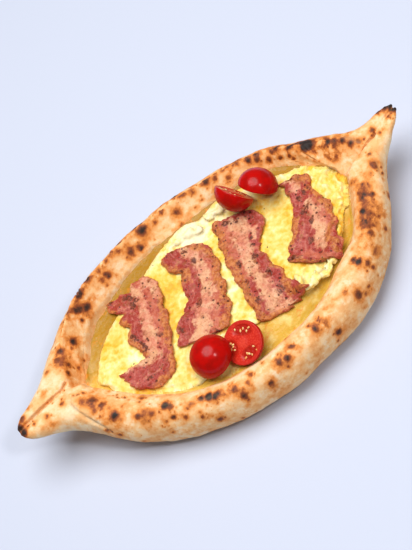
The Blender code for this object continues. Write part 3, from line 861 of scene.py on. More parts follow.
def crust_points(mesh, boat, look):
    """Gives the even net its lumps, blisters, seams and creases, and its baking."""
    points, normals = points_of(mesh), normals_of(mesh)
    deep, side = boat.crest(points)
    toast_and_shade = toast(points, normals, side, deep)
    moved = kneaded(points, normals, boat)
    finder = KDTree(len(points))
    for k, place in enumerate(points.tolist()):
        finder.insert(place, k)
    finder.balance()
    rows = spots(boat, points, toast_and_shade, look)
    rows = [(Vector(moved[finder.find(place)[1]]), radius, hot) for place, radius, hot in rows]
    heat, rise = bake(moved, rows)
    lift = look.lumps * cloud(points, 24.0, 3) + look.grain * cloud(points, 2.6, 3, 5)
    lift += 0.25 * cloud(points, 8.0, 2, 3) + look.blister * rise
    lift *= smooth(points[:, 2], 0.3, 3.0)
    moved = kneaded(points + normals * lift[:, None], normals, boat)
    dips, crease_shade = crease_dips_and_shade(points, boat, 0.35 * cloud(points, 2.2, 2, 21), look)
    for dip in dips:
        moved = moved - normals * dip[:, None]
    moved[:, 2] = np.maximum(moved[:, 2], 0)
    move_points(mesh, moved)
    store(mesh, "bake", heat)
    store(mesh, "toast_and_shade", toast_and_shade)
    store(mesh, "crease_shade", crease_shade)


# Shades of crust beside those that its properties hold.
ASH = (0.025, 0.015, 0.012)
FLOUR = (0.92, 0.79, 0.58)
# Painted shade laid into the creases and seams.
CREASE_SHADE = (0.46, 0.28, 0.14)


def crust_finish(look):
    """Baked dough: cream with orange mottling, dark spots with orange halos, fine pores."""
    made = Finish("baked_crust", Specular_IOR_Level=0.22)
    broad, middle, fine = made.noise(12, 4, 0.6), made.noise(2.8, 3, 0.55), made.noise(0.9, 2)
    patches = made.range(broad, 0.42, 0.64, 0.02, 0.20)
    freckles = made.range(middle, 0.50, 0.68, 0.0, 0.08)
    stir = made.times_plus(middle, 0.40, 0.80)
    baked = made.times(made.kept("bake"), stir)
    mottle = made.range(made.noise(5.0, 3, 0.5), 0.38, 0.62, 0.4, 1.35)
    # Broad browning, with the even tan inside the hollow that is painted shade on its walls.
    baked = made.times_plus(made.kept("toast_and_shade"), mottle, baked)
    pores = made.range(made.cells(3.3), 0.04, 0.13, 0.35, 0.0)
    pores = made.times(pores, made.range(made.noise(7.0, 2), 0.52, 0.60))
    heat = made.plus(made.plus(baked, patches), made.plus(freckles, pores))
    heat = made.times_plus(fine, 0.08, made.plus(heat, -0.04))
    colour = made.ramp(
        heat,
        (0.0, look.pale),
        (0.22, look.tan),
        (0.44, look.golden),
        (0.66, look.brown),
        (0.90, look.char),
        (1.0, ASH),
    )
    flour = made.range(made.noise(9.0, 5, 0.7), 0.50, 0.66, 0.0, 0.40)
    flour = made.times(flour, made.range(heat, 0.12, 0.40, 1.0, 0.0))
    colour = made.mix(flour, colour, FLOUR)
    # The creases and seams are darkened with painted shade.
    colour = made.mix(made.times(made.kept("crease_shade"), 0.45), colour, CREASE_SHADE)
    relief = made.times_plus(fine, 0.35, made.times(middle, 0.65))
    relief = made.times_plus(pores, -0.8, relief)
    made.relief(relief, 0.55, 0.8)
    return made.done(colour, made.range(heat, 0.3, 0.8, 0.74, 0.55))


class CrustOperator(bpy.types.Operator):
    """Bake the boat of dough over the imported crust"""

    bl_idname = "khachapuri.crust"
    bl_label = "Crust"

    def execute(self, context):
        look = context.scene.khachapuri_crust
        boat = Boat()
        mesh = even_net(NODES["crust"].data.copy(), look.cell)
        relax(mesh, 4)
        split_near(mesh, [row[0] for row in crease_paths(boat)], (3.0, 1.8))
        crust_points(mesh, boat, look)
        finished("crust_bread", mesh, crust_finish(look), ["crust"])
        return {"FINISHED"}


# ---- Cheese ----


def cheese_mesh(look, columns=260, rows=110):
    """Melted cheese from wall to wall, which climbs the crust all round."""
    solid = search_tree(NODES["cheese"].data)
    low, high = (np.array(corner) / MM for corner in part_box("cheese"))
    top = high[2]
    inset, reach, thick, away = 0.4, 3.0, 3.0, 200.0
    probe = top - inset
    first, last = low[0] + inset, high[0] - inset
    grid = np.zeros((columns, rows, 3))
    for column, x in enumerate(np.linspace(first - look.tongue, last + look.tongue, columns)):
        inside = min(max(x, first), last)
        near = solid.ray_cast(Vector((inside, -away, probe)), Vector((0, 1, 0)))[0]
        far = solid.ray_cast(Vector((inside, away, probe)), Vector((0, -1, 0)))[0]
        y = np.linspace(near.y - reach, far.y + reach, rows)
        wall = np.minimum(y - near.y, far.y - y)
        grid[column, :, 0] = x
        grid[column, :, 1] = y
        grid[column, :, 2] = top + look.climb * np.exp(-np.maximum(wall, 0) / 2.2)
    flat = grid.reshape(-1, 3)
    lumps = 0.45 * cloud(flat, 9.0, 3, 2) + 0.18 * cloud(flat, 2.4, 2, 4)
    grid[..., 2] += lumps.reshape(columns, rows)
    under = grid.copy()
    under[..., 2] = top - thick
    under[..., 1] *= 0.98
    mesh = grid_mesh("cheese_melted", grid, under)
    # The far share marks a darker strip along the far rim, painted shade of that rim. There is less of it
    # at the left end, and the cheese also darkens towards the right end.
    span = np.maximum(grid[:, -1:, 1] - grid[:, :1, 1], 1)
    share = (grid[..., 1] - grid[:, :1, 1]) / span
    far = smooth(share + 0.06 * cloud(flat, 8.0, 2, 9).reshape(columns, rows), 0.35, 0.75)
    far = far * (0.8 + 0.2 * smooth(grid[..., 0], -98, -70))
    far = np.maximum(far, 0.35 * smooth(grid[..., 0], 15, 40)).ravel()
    store(mesh, "far", np.concatenate([far, far]))
    return mesh


def cheese_finish(look):
    """Melted cheese: ochre, with paler curd, orange oil and small bubbles."""
    made = Finish(
        "melted_cheese",
        Specular_IOR_Level=0.2,
        Subsurface_Weight=0.1,
        Subsurface_Scale=0.003,
        Subsurface_Radius=(1.0, 0.6, 0.25),
    )
    broad, middle, fine = made.noise(11, 4, 0.6), made.noise(3.2, 3, 0.6), made.noise(1.0, 2)
    colour = made.mix(made.range(broad, 0.46, 0.70), look.cheese, look.curd)
    colour = made.mix(made.range(middle, 0.55, 0.75, 0.0, 0.5), colour, look.curd)
    # Painted shade of the far rim darkens the cheese along it; the cheese also darkens towards the right
    # end.
    colour = made.mix(made.times(made.kept("far"), 0.85), colour, look.shaded)
    oil = made.times(made.range(made.noise(8, 3), 0.54, 0.64), made.range(middle, 0.48, 0.60))
    colour = made.mix(made.times(oil, 0.8), colour, look.oil)
    bubbles = made.range(made.cells(2.6), 0.0, 0.35, 1.0, 0.0)
    relief = made.times_plus(bubbles, 0.4, made.times_plus(fine, 0.3, middle))
    made.relief(relief, 0.7, 0.7)
    return made.done(colour, made.range(middle, 0.3, 0.7, 0.22, 0.38))


class CheeseOperator(bpy.types.Operator):
    """Melt the cheese into the boat"""

    bl_idname = "khachapuri.cheese"
    bl_label = "Cheese"

    def execute(self, context):
        look = context.scene.khachapuri_filling
        finished("cheese_melted", cheese_mesh(look), cheese_finish(look), ["cheese"])
        return {"FINISHED"}


# ---- Omelette ----


def fold_meshes(name):
    """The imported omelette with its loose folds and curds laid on, as one net to be."""
    noise.seed_set(FOLD_SEED)  # unset, vector noise differs from run to run
    net = bmesh.new()
    net.from_mesh(NODES[name].data)
    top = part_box(name)[1].z / MM
    for x, y, turn, length, radius, lift in FOLDS:
        made = bmesh.ops.create_icosphere(net, subdivisions=3, radius=1.0)
        bend = 0.25 * length
        ahead = Vector((math.cos(math.radians(turn)), math.sin(math.radians(turn)), 0))
        aside = Vector((-ahead.y, ahead.x, 0))
        for corner in made["verts"]:
            a, b, c = corner.co
            place = Vector((x, y, top + lift)) + ahead * a * length / 2
            place += aside * (b * radius + bend * (a * a - 0.5)) + Vector((0, 0, 0.7 * c * radius))
            place += 0.35 * radius * noise.noise_vector(place / 3.5)
            corner.co = place * MM
    mesh = bpy.data.meshes.new(name)
    net.to_mesh(mesh)
    net.free()
    return mesh


def yolk_share(points):
    """How rich in yolk each point is: the listed places, and a band beside the rashers."""
    x, y = points[:, 0], points[:, 1]
    rich = np.zeros(len(points))
    stir = cloud(points, 7.0, 3, 40)
    for place_x, place_y, radius, amount in YOLK:
        away = np.hypot(x - place_x, y - place_y) / (1.6 * radius) + 0.3 * stir
        rich += amount * (1 - smooth(away, 0.1, 1.5))
    flat = np.stack([x, y, 0 * x], 1)
    beside = np.full(len(points), 9.0)
    for rungs in RASHERS.values():
        for k in (0, 2):
            edge = [(rung[k], rung[k + 1], 0.0) for rung in rungs]
            beside = np.minimum(beside, along(flat, edge)[0])
    rich += 0.75 * np.exp(-((beside / 2.6) ** 2)) * smooth(stir, -0.5, 0.4)
    return np.clip(rich, -1, 1.2)


def omelette_points(mesh, look):
    """Puffs and creases all over, ragged edges, and pleats where the omelette bunches up."""
    points, normals = points_of(mesh), normals_of(mesh)
    x, y = points[:, 0], points[:, 1]
    up = smooth(normals[:, 2], 0.0, 0.5)
    bunched = smooth(x, 84, 98) + 0.8 * smooth(x, 38, 52) * (1 - smooth(y, -46, -36))
    bunched = np.clip(bunched, 0, 1)
    across = (0.83 * x - 0.55 * y) / 4.5 + 1.8 * cloud(points, 11.0, 3, 8)
    pleat = 1 - np.abs(np.sin(math.pi * across / 2)) * 2
    puff = 1 - 2.6 * np.abs(cloud(points, 9.0, 3, 6))
    small = 1 - 2.6 * np.abs(cloud(points, 4.0, 2, 16))
    lift = 0.60 * cloud(points, 15.0, 3, 1) + 0.38 * puff + 0.22 * small
    lift += bunched * look.pleats * (pleat + 0.6 * cloud(points, 4.0, 2, 12))
    moved = points + normals * (lift * (0.25 + 0.75 * up))[:, None]
    spill = NEAR_SPILL * smooth(x, -106, -94) * (1 - smooth(x, -45, -20)) * (1 - smooth(y, -5, 10))
    spill += END_SPILL * smooth(x, 86, 104)
    for axis, shift in ((0, 14), (1, 19)):
        ragged = 1.5 * cloud(points, 8.0, 3, shift) + 0.7 * cloud(points, 3.0, 2, 2 * shift)
        moved[:, axis] += (ragged + spill * normals[:, axis]) * (1 - up)
    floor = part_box("omelette")[0].z / MM
    moved[:, 2] = np.maximum(moved[:, 2], floor - 1.0)
    move_points(mesh, moved)
    store(mesh, "yolk", yolk_share(points))
    # The creases between puffs and the hollows of the pleats are kept for a deeper yellow: painted shade.
    shaded_crease = 0.5 * (1 - smooth(puff, -0.1, 0.75)) + 0.35 * (1 - smooth(small, -0.1, 0.7))
    store(mesh, "fold_shade", np.maximum(bunched * np.clip(-pleat, 0, 1), shaded_crease * up))


RICHEST_YOLK = (0.84, 0.40, 0.03)  # past the yolk that the properties hold


def omelette_finish(look):
    """Soft-cooked egg: cream to yellow, richer in yolk in places, and a deeper yellow in its creases that
    is painted shade.
    """
    made = Finish(
        "soft_omelette",
        Specular_IOR_Level=0.3,
        Subsurface_Weight=0.12,
        Subsurface_Scale=0.003,
        Subsurface_Radius=(1.0, 0.75, 0.35),
    )
    broad, middle, fine = made.noise(10, 4, 0.55), made.noise(2.8, 4, 0.6), made.noise(0.8, 2)
    rich = made.times_plus(made.kept("yolk"), 0.40, 0.26)
    rich = made.plus(rich, made.range(broad, 0.35, 0.65, -0.16, 0.16))
    rich = made.plus(rich, made.range(middle, 0.35, 0.65, -0.08, 0.08))
    # Painted shade: the creases and pleat hollows are pushed towards the yolk colours.
    rich = made.times_plus(made.kept("fold_shade"), 0.42, rich)
    colour = made.ramp(
        rich,
        (0.0, look.cream),
        (0.40, look.egg),
        (0.80, look.yolk),
        (1.0, RICHEST_YOLK),
    )
    made.relief(made.times_plus(fine, 0.3, middle), 0.7, 0.8)
    return made.done(colour, made.range(middle, 0.3, 0.7, 0.32, 0.48))


class OmeletteOperator(bpy.types.Operator):
    """Lay the omelette on the cheese"""

    bl_idname = "khachapuri.omelette"
    bl_label = "Omelette"

    def execute(self, context):
        look = context.scene.khachapuri_filling
        mesh = even_net(fold_meshes("omelette"), look.egg_cell)
        relax(mesh, 3)
        omelette_points(mesh, look)
        finished("omelette_soft", mesh, omelette_finish(look), ["omelette"])
        return {"FINISHED"}


# ---- Bacon ----


def flowing(rungs, count):
    """The rungs of a rasher, run smoothly into that many."""
    rows = np.array([rungs[0], *rungs, rungs[-1]], float)
    out = []
    for place in np.linspace(0, len(rows) - 3, count):
        k = min(int(place), len(rows) - 4)
        u = place - k
        a, b, c, d = rows[k : k + 4]
        slope, turn = c - a, 2 * a - 5 * b + 4 * c - d
        out.append(b + 0.5 * u * (slope + u * (turn + u * (3 * (b - c) + d - a))))
    return np.array(out)


def spread_high(heights, reach):
    """A stiff sheet's height: the highest support within reach, then evened out."""
    rows, columns = heights.shape
    padded = np.pad(heights, reach, mode="edge")
    shifts = [(i, j) for i in range(2 * reach + 1) for j in range(2 * reach + 1)]
    shifts = [s for s in shifts if math.dist(s, (reach, reach)) <= reach]
    out = np.max([padded[i : i + rows, j : j + columns] for i, j in shifts], axis=0)
    for _ in range(3):
        padded = np.pad(out, reach, mode="edge")
        out = np.mean([padded[i : i + rows, j : j + columns] for i, j in shifts], axis=0)
    return np.maximum(out, heights)


def streaks_of(name, row, share, width, warp):
    """How strongly each kind of streak shows at every point of a rasher."""
    length = RASHER_LENGTH
    places = np.stack([row * length, share * width, 0 * row], 2).reshape(-1, 3)
    places[:, :2] += 1.1 * warp
    out = {}
    for kind, paths in STREAKS[name].items():
        out[kind] = np.zeros(len(places))
        for path in paths:
            wide = np.interp([place[0] for place in path], row[:, 0], width[:, 0])
            line = [(p[0] * length, p[1] * w, 0.0) for p, w in zip(path, wide)]
            if len(line) == 1:
                line.append((line[0][0] + 0.1, line[0][1], 0.0))
                path = [*path, *path]
            away, place = along(places, line)
            half = np.interp(place, np.linspace(0, 1, len(path)), [p[2] for p in path])
            out[kind] = np.maximum(out[kind], 1 - smooth(away / half, 0.1, 1.8))
    return out


def bitten(name, row, share):
    """How far bites draw in a rasher's ends and edges: along it, and across it."""
    lengthwise, left, right = (np.zeros(row.shape) for _ in range(3))
    for where, place, reach, depth in BITES[name]:
        if where in ("start", "end"):
            away = row if where == "start" else 1 - row
            dip = depth * np.exp(-(((share - place) / reach) ** 2)) * (1 - smooth(away, 0, 0.16))
            lengthwise += dip if where == "start" else -dip
        elif where == "left":
            left += depth * np.exp(-(((row - place) / reach) ** 2)) * (1 - share) ** 3
        else:
            right += depth * np.exp(-(((row - place) / reach) ** 2)) * share**3
    return lengthwise, left, right


def rasher_plan(name, rungs, look, row, share, phase):
    """A rasher seen from above: the place of each point, and the rasher's width there."""
    edges = flowing(rungs, len(row))
    left, right = edges[:, None, :2], edges[:, None, 2:]
    width = np.linalg.norm(right - left, axis=2) + 0 * share
    frill = 0.03 * np.sin(2.1 * WAVE_ROWS * row + phase)
    lengthwise, drawn_left, drawn_right = bitten(name, row, share)
    for k, (drawn, near) in enumerate(((drawn_left, 1 - share), (drawn_right, share))):
        line = np.stack([edges[:, 2 * k], edges[:, 2 * k + 1], 0 * edges[:, 0]], 1)
        wander = cloud(line, 5.0, 2, 3 * k) + 0.6 * cloud(line, 1.7, 2, 7 * k)
        drawn += look.frill * wander[:, None] * near**2
    place = share * (1 - 2 * frill) + frill + (drawn_left - drawn_right) / width
    flat = left + (right - left) * place[..., None]
    spine = np.gradient(edges[:, :2] + edges[:, 2:], axis=0)
    spine /= np.linalg.norm(spine, axis=1, keepdims=True)
    ahead = np.stack([share * 30, 0 * share, 0 * share], 2).reshape(-1, 3)
    wild = 1.6 * look.frill * cloud(ahead, 4.0, 3, phase).reshape(row.shape)
    wild = wild * ((1 - smooth(row, 0, 0.12)) - smooth(row, 0.88, 1)) + lengthwise
    return flat + spine[:, None, :] * wild[..., None], width


def rasher_lift(kinds, places, look, row, share, phase):
    """How far a rasher stands off its bed: waves, curled edges, bumps and thick fat."""
    wave = 1 + np.sin(0.9 * WAVE_ROWS * row + 2.2 * share + phase)
    edge = smooth(np.abs(2 * share - 1), 0.50, 1.0)
    curl = edge * np.maximum(0.5 + 0.9 * cloud(places, 6.0, 2, 33).reshape(row.shape), 0)
    bumps = 0.8 * cloud(places, 3.2, 3, 44).reshape(row.shape)
    buckle = 0.5 * cloud(places, 9.0, 2, 71).reshape(row.shape)
    lift = 0.35 + look.ripple / 2 * wave + 1.2 * curl + bumps + buckle
    fat, sear = (kinds[kind].reshape(row.shape) for kind in ("fat", "sear"))
    return np.maximum(lift + 0.35 * (fat - 0.5) - 0.3 * sear, 0.12)


def rasher_mesh(name, rungs, look, trees, rows=190, columns=72):
    """A fried rasher draped over what lies under it, with its fat, meat and rind."""
    phase = len(name) + 2.3 * rungs[0][0]
    share = np.linspace(0, 1, columns)[None, :] + np.zeros((rows, 1))
    row = np.linspace(0, 1, rows)[:, None] + 0 * share
    flat, width = rasher_plan(name, rungs, look, row, share, phase)
    base = [max(height_at(tree, x, y) for tree in trees) for x, y in flat.reshape(-1, 2).tolist()]
    base = spread_high(np.reshape(base, (rows, columns)), 6)
    places = np.concatenate([flat, base[..., None]], 2).reshape(-1, 3)
    warp = np.stack([cloud(places, 4.5, 3, k) for k in (60, 80)], 1)
    kinds = streaks_of(name, row, share, width, warp)
    lift = rasher_lift(kinds, places, look, row, share, phase)
    slim = np.sqrt(np.clip(1 - np.abs(2 * share - 1) ** 7, 0.04, 1))
    slim = slim * np.sqrt(np.clip(1 - np.abs(2 * row - 1) ** 40, 0.04, 1))
    bottom = np.concatenate([flat, (base + lift)[..., None]], 2)
    top = bottom.copy()
    top[..., 2] += look.thickness * slim
    mesh = grid_mesh(name + "_fried", top, bottom)
    aside = (share * width).ravel()
    ahead = row.ravel() * RASHER_LENGTH
    across = (np.minimum(share, 1 - share) * width).ravel()
    lengthwise = np.minimum(row, 1 - row).ravel() * RASHER_LENGTH
    kinds["edge"] = 1 - smooth(np.minimum(across, lengthwise) + 0.9 * warp[:, 0], 0.0, 2.6)
    for kept, values in kinds.items():
        store(mesh, kept, np.concatenate([values, values]))
    flow = mesh.attributes.new("flow", "FLOAT_VECTOR", "POINT")
    streak = np.stack([aside, ahead * 0.2, 0 * across], 1)
    flow.data.foreach_set("vector", np.concatenate([streak, streak]).ravel())
    return mesh


# Shades of fried bacon beside those that its properties hold.
VEIN = (0.66, 0.23, 0.16)
DARK_LEAN = (0.22, 0.023, 0.011)
RUDDY_FAT = (0.70, 0.25, 0.14)
CLEAR_FAT = (0.85, 0.52, 0.31)
BROWN_FAT = (0.58, 0.175, 0.08)
DEEP_RIND = (0.40, 0.095, 0.022)
CRISP_EDGE = (0.54, 0.15, 0.045)
SINGED = (0.34, 0.060, 0.022)
BLACK_FLECK = (0.11, 0.020, 0.008)
BROWN_FLECK = (0.30, 0.070, 0.018)


def bacon_finish(look):
    """Fried bacon: red lean, creamy fat that breaks up at its edges, browned rim, scorches."""
    made = Finish("fried_bacon", Specular_IOR_Level=0.36)
    flow = made.tree.nodes.new("ShaderNodeAttribute")
    flow.attribute_name = "flow"
    grain = made.noise(1.8, 3, 0.55, place=flow.outputs["Vector"])
    broad, patch = made.noise(13, 3, 0.5), made.noise(6.0, 3, 0.55)
    middle, fine = made.noise(2.4, 3, 0.55), made.noise(0.8, 3, 0.6)
    stir = made.times_plus(middle, 0.9, made.times_plus(grain, 0.7, -0.8))
    stir = made.plus(stir, made.times_plus(patch, 2.2, -1.1))

    def share(kind, low, high, most=1.0):
        """How much a kind of streak shows, with its edge broken up."""
        return made.range(made.plus(made.kept(kind), stir), low, high, 0.0, most)

    lean = made.mix(made.range(patch, 0.42, 0.62), look.lean, look.rose)
    lean = made.mix(made.range(grain, 0.52, 0.66, 0.0, 0.45), lean, VEIN)
    lean = made.mix(made.range(middle, 0.30, 0.45, 0.55, 0.0), lean, DARK_LEAN)
    colour = made.mix(share("pink", 0.1, 0.9, 0.85), lean, look.pink)
    fatty = made.mix(made.range(broad, 0.40, 0.58), look.fat, RUDDY_FAT)
    fatty = made.mix(made.range(patch, 0.50, 0.64, 0.0, 0.6), fatty, CLEAR_FAT)
    fatty = made.mix(made.range(middle, 0.36, 0.50, 0.5, 0.0), fatty, BROWN_FAT)
    colour = made.mix(share("fat", 0.10, 0.85, 0.92), colour, fatty)
    browned = made.mix(made.range(middle, 0.36, 0.60), DEEP_RIND, look.rind)
    colour = made.mix(share("rind", 0.20, 0.9, 0.9), colour, browned)
    colour = made.mix(share("edge", 0.45, 1.2, 0.7), colour, CRISP_EDGE)
    broken = made.range(made.noise(2.0, 3, 0.6), 0.38, 0.47)
    seared = made.times(share("sear", 0.30, 0.85, 0.95), broken)
    colour = made.mix(share("sear", 0.2, 1.0, 0.5), colour, SINGED)
    colour = made.mix(seared, colour, look.sear)
    flecks = made.range(made.cells(4.4), 0.15, 0.25, 0.92, 0.0)
    flecks = made.times(flecks, made.range(made.noise(8.0, 3), 0.47, 0.54))
    colour = made.mix(flecks, colour, BLACK_FLECK)
    toasted = made.range(made.cells(5.5), 0.18, 0.45, 0.85, 0.0)
    toasted = made.times(toasted, made.range(middle, 0.40, 0.60))
    colour = made.mix(toasted, colour, BROWN_FLECK)
    relief = made.times_plus(fine, 0.25, made.times_plus(grain, 0.4, middle))
    made.relief(made.times_plus(flecks, -0.5, relief), 1.3, 1.0)
    return made.done(colour, made.range(fine, 0.35, 0.65, 0.20, 0.48))


class BaconOperator(bpy.types.Operator):
    """Fry the rashers and drape them over the omelette"""

    bl_idname = "khachapuri.bacon"
    bl_label = "Bacon"

    def execute(self, context):
        look = context.scene.khachapuri_bacon
        beds = ("crust_bread", "cheese_melted", "omelette_soft")
        trees = [search_tree(DRESSED[bed].data) for bed in beds]
        finish = bacon_finish(look)
        for name, rungs in RASHERS.items():
            mesh = rasher_mesh(name, rungs, look, trees)
            finished(name + "_fried", mesh, finish, [name])
        return {"FINISHED"}


# ---- Tomatoes ----


def cut_of(node):
    """A packed half's cut: its centre, its outward direction, its radius, and the dome's height."""
    mesh = NODES[node].data
    areas = {}
    for face in mesh.polygons:
        key = tuple(round(c, 2) for c in face.normal)
        areas.setdefault(key, []).append(face)
    flat = max(areas.values(), key=lambda faces: sum(face.area for face in faces))
    facing = np.mean([face.normal for face in flat], axis=0)
    facing /= np.linalg.norm(facing)
    corners = np.array([mesh.vertices[k].co for face in flat for k in face.vertices]) / MM
    centre = (corners.min(0) + corners.max(0)) / 2
    centre = centre + facing * ((corners - centre) @ facing).mean()
    radius = np.linalg.norm(corners - centre, axis=1).max()
    dome = -((points_of(mesh) - centre) @ facing).min()
    return centre, facing, radius, dome


def cut_axes(facing):
    """Two directions across a cut: the first one lies as near to +X as it can."""
    first = np.array((1.0, 0.0, 0.0)) - facing * facing[0]
    first /= np.linalg.norm(first)
    return first, np.cross(facing, first)


def pocket(radius, turn, reach):
    """1 in a seed pocket and 0 in the flesh between them."""
    inside = np.zeros(np.broadcast(radius, turn).shape)
    for where, half in POCKETS:
        apart = (np.degrees(turn) - where + 180) % 360 - 180
        far = np.hypot(apart / half, (radius / reach - 0.58) / 0.30)
        inside = np.maximum(inside, 1 - smooth(far, 0.72, 1.08))
    return inside


def tomato_rings(radius, dome, bevel=0.7):
    """Radius and height of the rings over the cut, round its edge and down the skin."""
    inner = np.linspace(0.06, 1, 30)[:, None] * (radius - bevel)
    corner = np.linspace(0.25, 1, 4)[:, None] * math.pi / 2
    skin = np.linspace(0, 1, 26)[1:-1, None] * math.pi / 2
    r = np.concatenate([inner, radius - bevel + bevel * np.sin(corner), radius * np.cos(skin)])
    z = np.concatenate([0 * inner, bevel * (np.cos(corner) - 1), -bevel - (dome - bevel) * np.sin(skin)])
    return r, z, len(inner)


def closed_rings(name, place, first, last):
    """A closed mesh over rings of points, with a pole before the first and after the last."""
    rings, turns = place.shape[:2]
    faces = []
    for ring in range(rings - 1):
        for k in range(turns):
            a, b = ring * turns + k, ring * turns + (k + 1) % turns
            faces.append((a, b, b + turns, a + turns))
    end, poles = (rings - 1) * turns, rings * turns
    for k in range(turns):
        faces.append((k, (k + 1) % turns, poles))
        faces.append((end + k, end + (k + 1) % turns, poles + 1))
    points = np.concatenate([place.reshape(-1, 3), [first], [last]])
    mesh = bpy.data.meshes.new(name)
    mesh.from_pydata((points * MM).tolist(), [], faces)
    outward(mesh)
    return mesh


def tomato_mesh(name, look, turns=96):
    """A tomato half with seed pockets, flesh between them and a core in its cut."""
    centre, facing, radius, dome = cut_of(name)
    first, second = cut_axes(facing)
    turn = np.linspace(0, 2 * math.pi, turns, endpoint=False)[None, :]
    r, z, cut_rings = tomato_rings(radius, dome)
    r, z = r + 0 * turn, z + 0 * turn
    on_cut = (np.arange(len(r)) < cut_rings)[:, None]
    wall = radius - look.rind
    gel = pocket(r, turn, radius) * on_cut * (r < wall)
    gel = gel * (1 - smooth(r, wall - 0.8, wall))
    core = (1 - smooth(r / radius, 0.10, 0.34)) * on_cut
    flat = np.stack([r * np.cos(turn), r * np.sin(turn), z], 2)
    rough = cloud(flat.reshape(-1, 3), 1.6, 3, len(name)).reshape(r.shape)
    z = z - look.pocket * gel + 0.25 * core + 0.10 * rough * on_cut + 0.22 * rough * gel
    r = r * (1 + 0.010 * cloud(flat.reshape(-1, 3), 14.0, 2, 70).reshape(r.shape) * ~on_cut)
    place = centre + (r * np.cos(turn))[..., None] * first + (r * np.sin(turn))[..., None] * second
    place = place + z[..., None] * facing
    mesh = closed_rings(name, place, centre + 0.25 * facing, centre - dome * facing)
    edge = np.arange(len(r))[:, None] < cut_rings + 1
    for kept, values, poles in (
        ("cut", edge + 0 * r, (1, 0)),
        ("jelly", gel, (0, 0)),
        ("core", core, (1, 0)),
        ("wall", smooth(r / radius, 0.82, 0.95) * on_cut, (0, 0)),
    ):
        store(mesh, kept, [*values.ravel(), *poles])
    return mesh


# Shades of ripe tomato, seeds and pepper beside those that the properties hold.
DARK_SKIN = (0.36, 0.003, 0.001)
WET_FLESH = (0.64, 0.045, 0.022)
CORE = (0.74, 0.075, 0.04)
WALL = (0.50, 0.022, 0.015)
SEED_COAT = (0.86, 0.62, 0.28)
DARK_HUSK = (0.018, 0.009, 0.006)
LIGHT_HUSK = (0.09, 0.035, 0.02)


def tomato_finish(look):
    """Glossy skin outside; inside, wet flesh with a darker wall, jelly and a pale core."""
    made = Finish("ripe_tomato", Specular_IOR_Level=0.16, Coat_Weight=0.08, Coat_Roughness=0.12)
    broad, fine = made.noise(6, 3), made.noise(0.9, 3)
    skin = made.mix(made.range(broad, 0.4, 0.65), look.skin, DARK_SKIN)
    flesh = made.mix(made.range(fine, 0.4, 0.65), look.flesh, WET_FLESH)
    flesh = made.mix(made.times(made.kept("core"), 0.4), flesh, CORE)
    flesh = made.mix(made.times(made.kept("wall"), 0.8), flesh, WALL)
    flesh = made.mix(made.times(made.kept("jelly"), 0.8), flesh, look.jelly)
    colour = made.mix(made.kept("cut"), skin, flesh)
    made.relief(made.times(made.noise(1.4, 3), made.kept("cut")), 0.35, 0.7)
    return made.done(colour, made.range(made.kept("cut"), 0.0, 1.0, 0.22, 0.30))


def seed_places():
    """Points, outward directions and pointing directions of the seeds in all four cuts."""
    chance = np.random.default_rng(CUT_SEED)
    spread, stray, sunk, empty = 0.72, 7, 0.5, 0.3
    rows = []
    for name in HALVES:
        centre, facing, radius, _ = cut_of(name)
        first, second = cut_axes(facing)
        for where, half in POCKETS:
            for reach, count in SEED_ROWS:
                for k in range(count):
                    turn = where + half * spread * (2 * (k + 0.5) / count - 1)
                    turn = math.radians(turn + stray * chance.normal())
                    r = radius * (reach + 0.05 * chance.normal())
                    ray = math.cos(turn) * first + math.sin(turn) * second
                    if chance.random() > empty:
                        aim = -ray + 0.5 * chance.normal() * np.cross(facing, ray)
                        rows.append((centre + r * ray - sunk * facing, facing, aim))
    return rows


# ---- Small things scattered on a surface ----


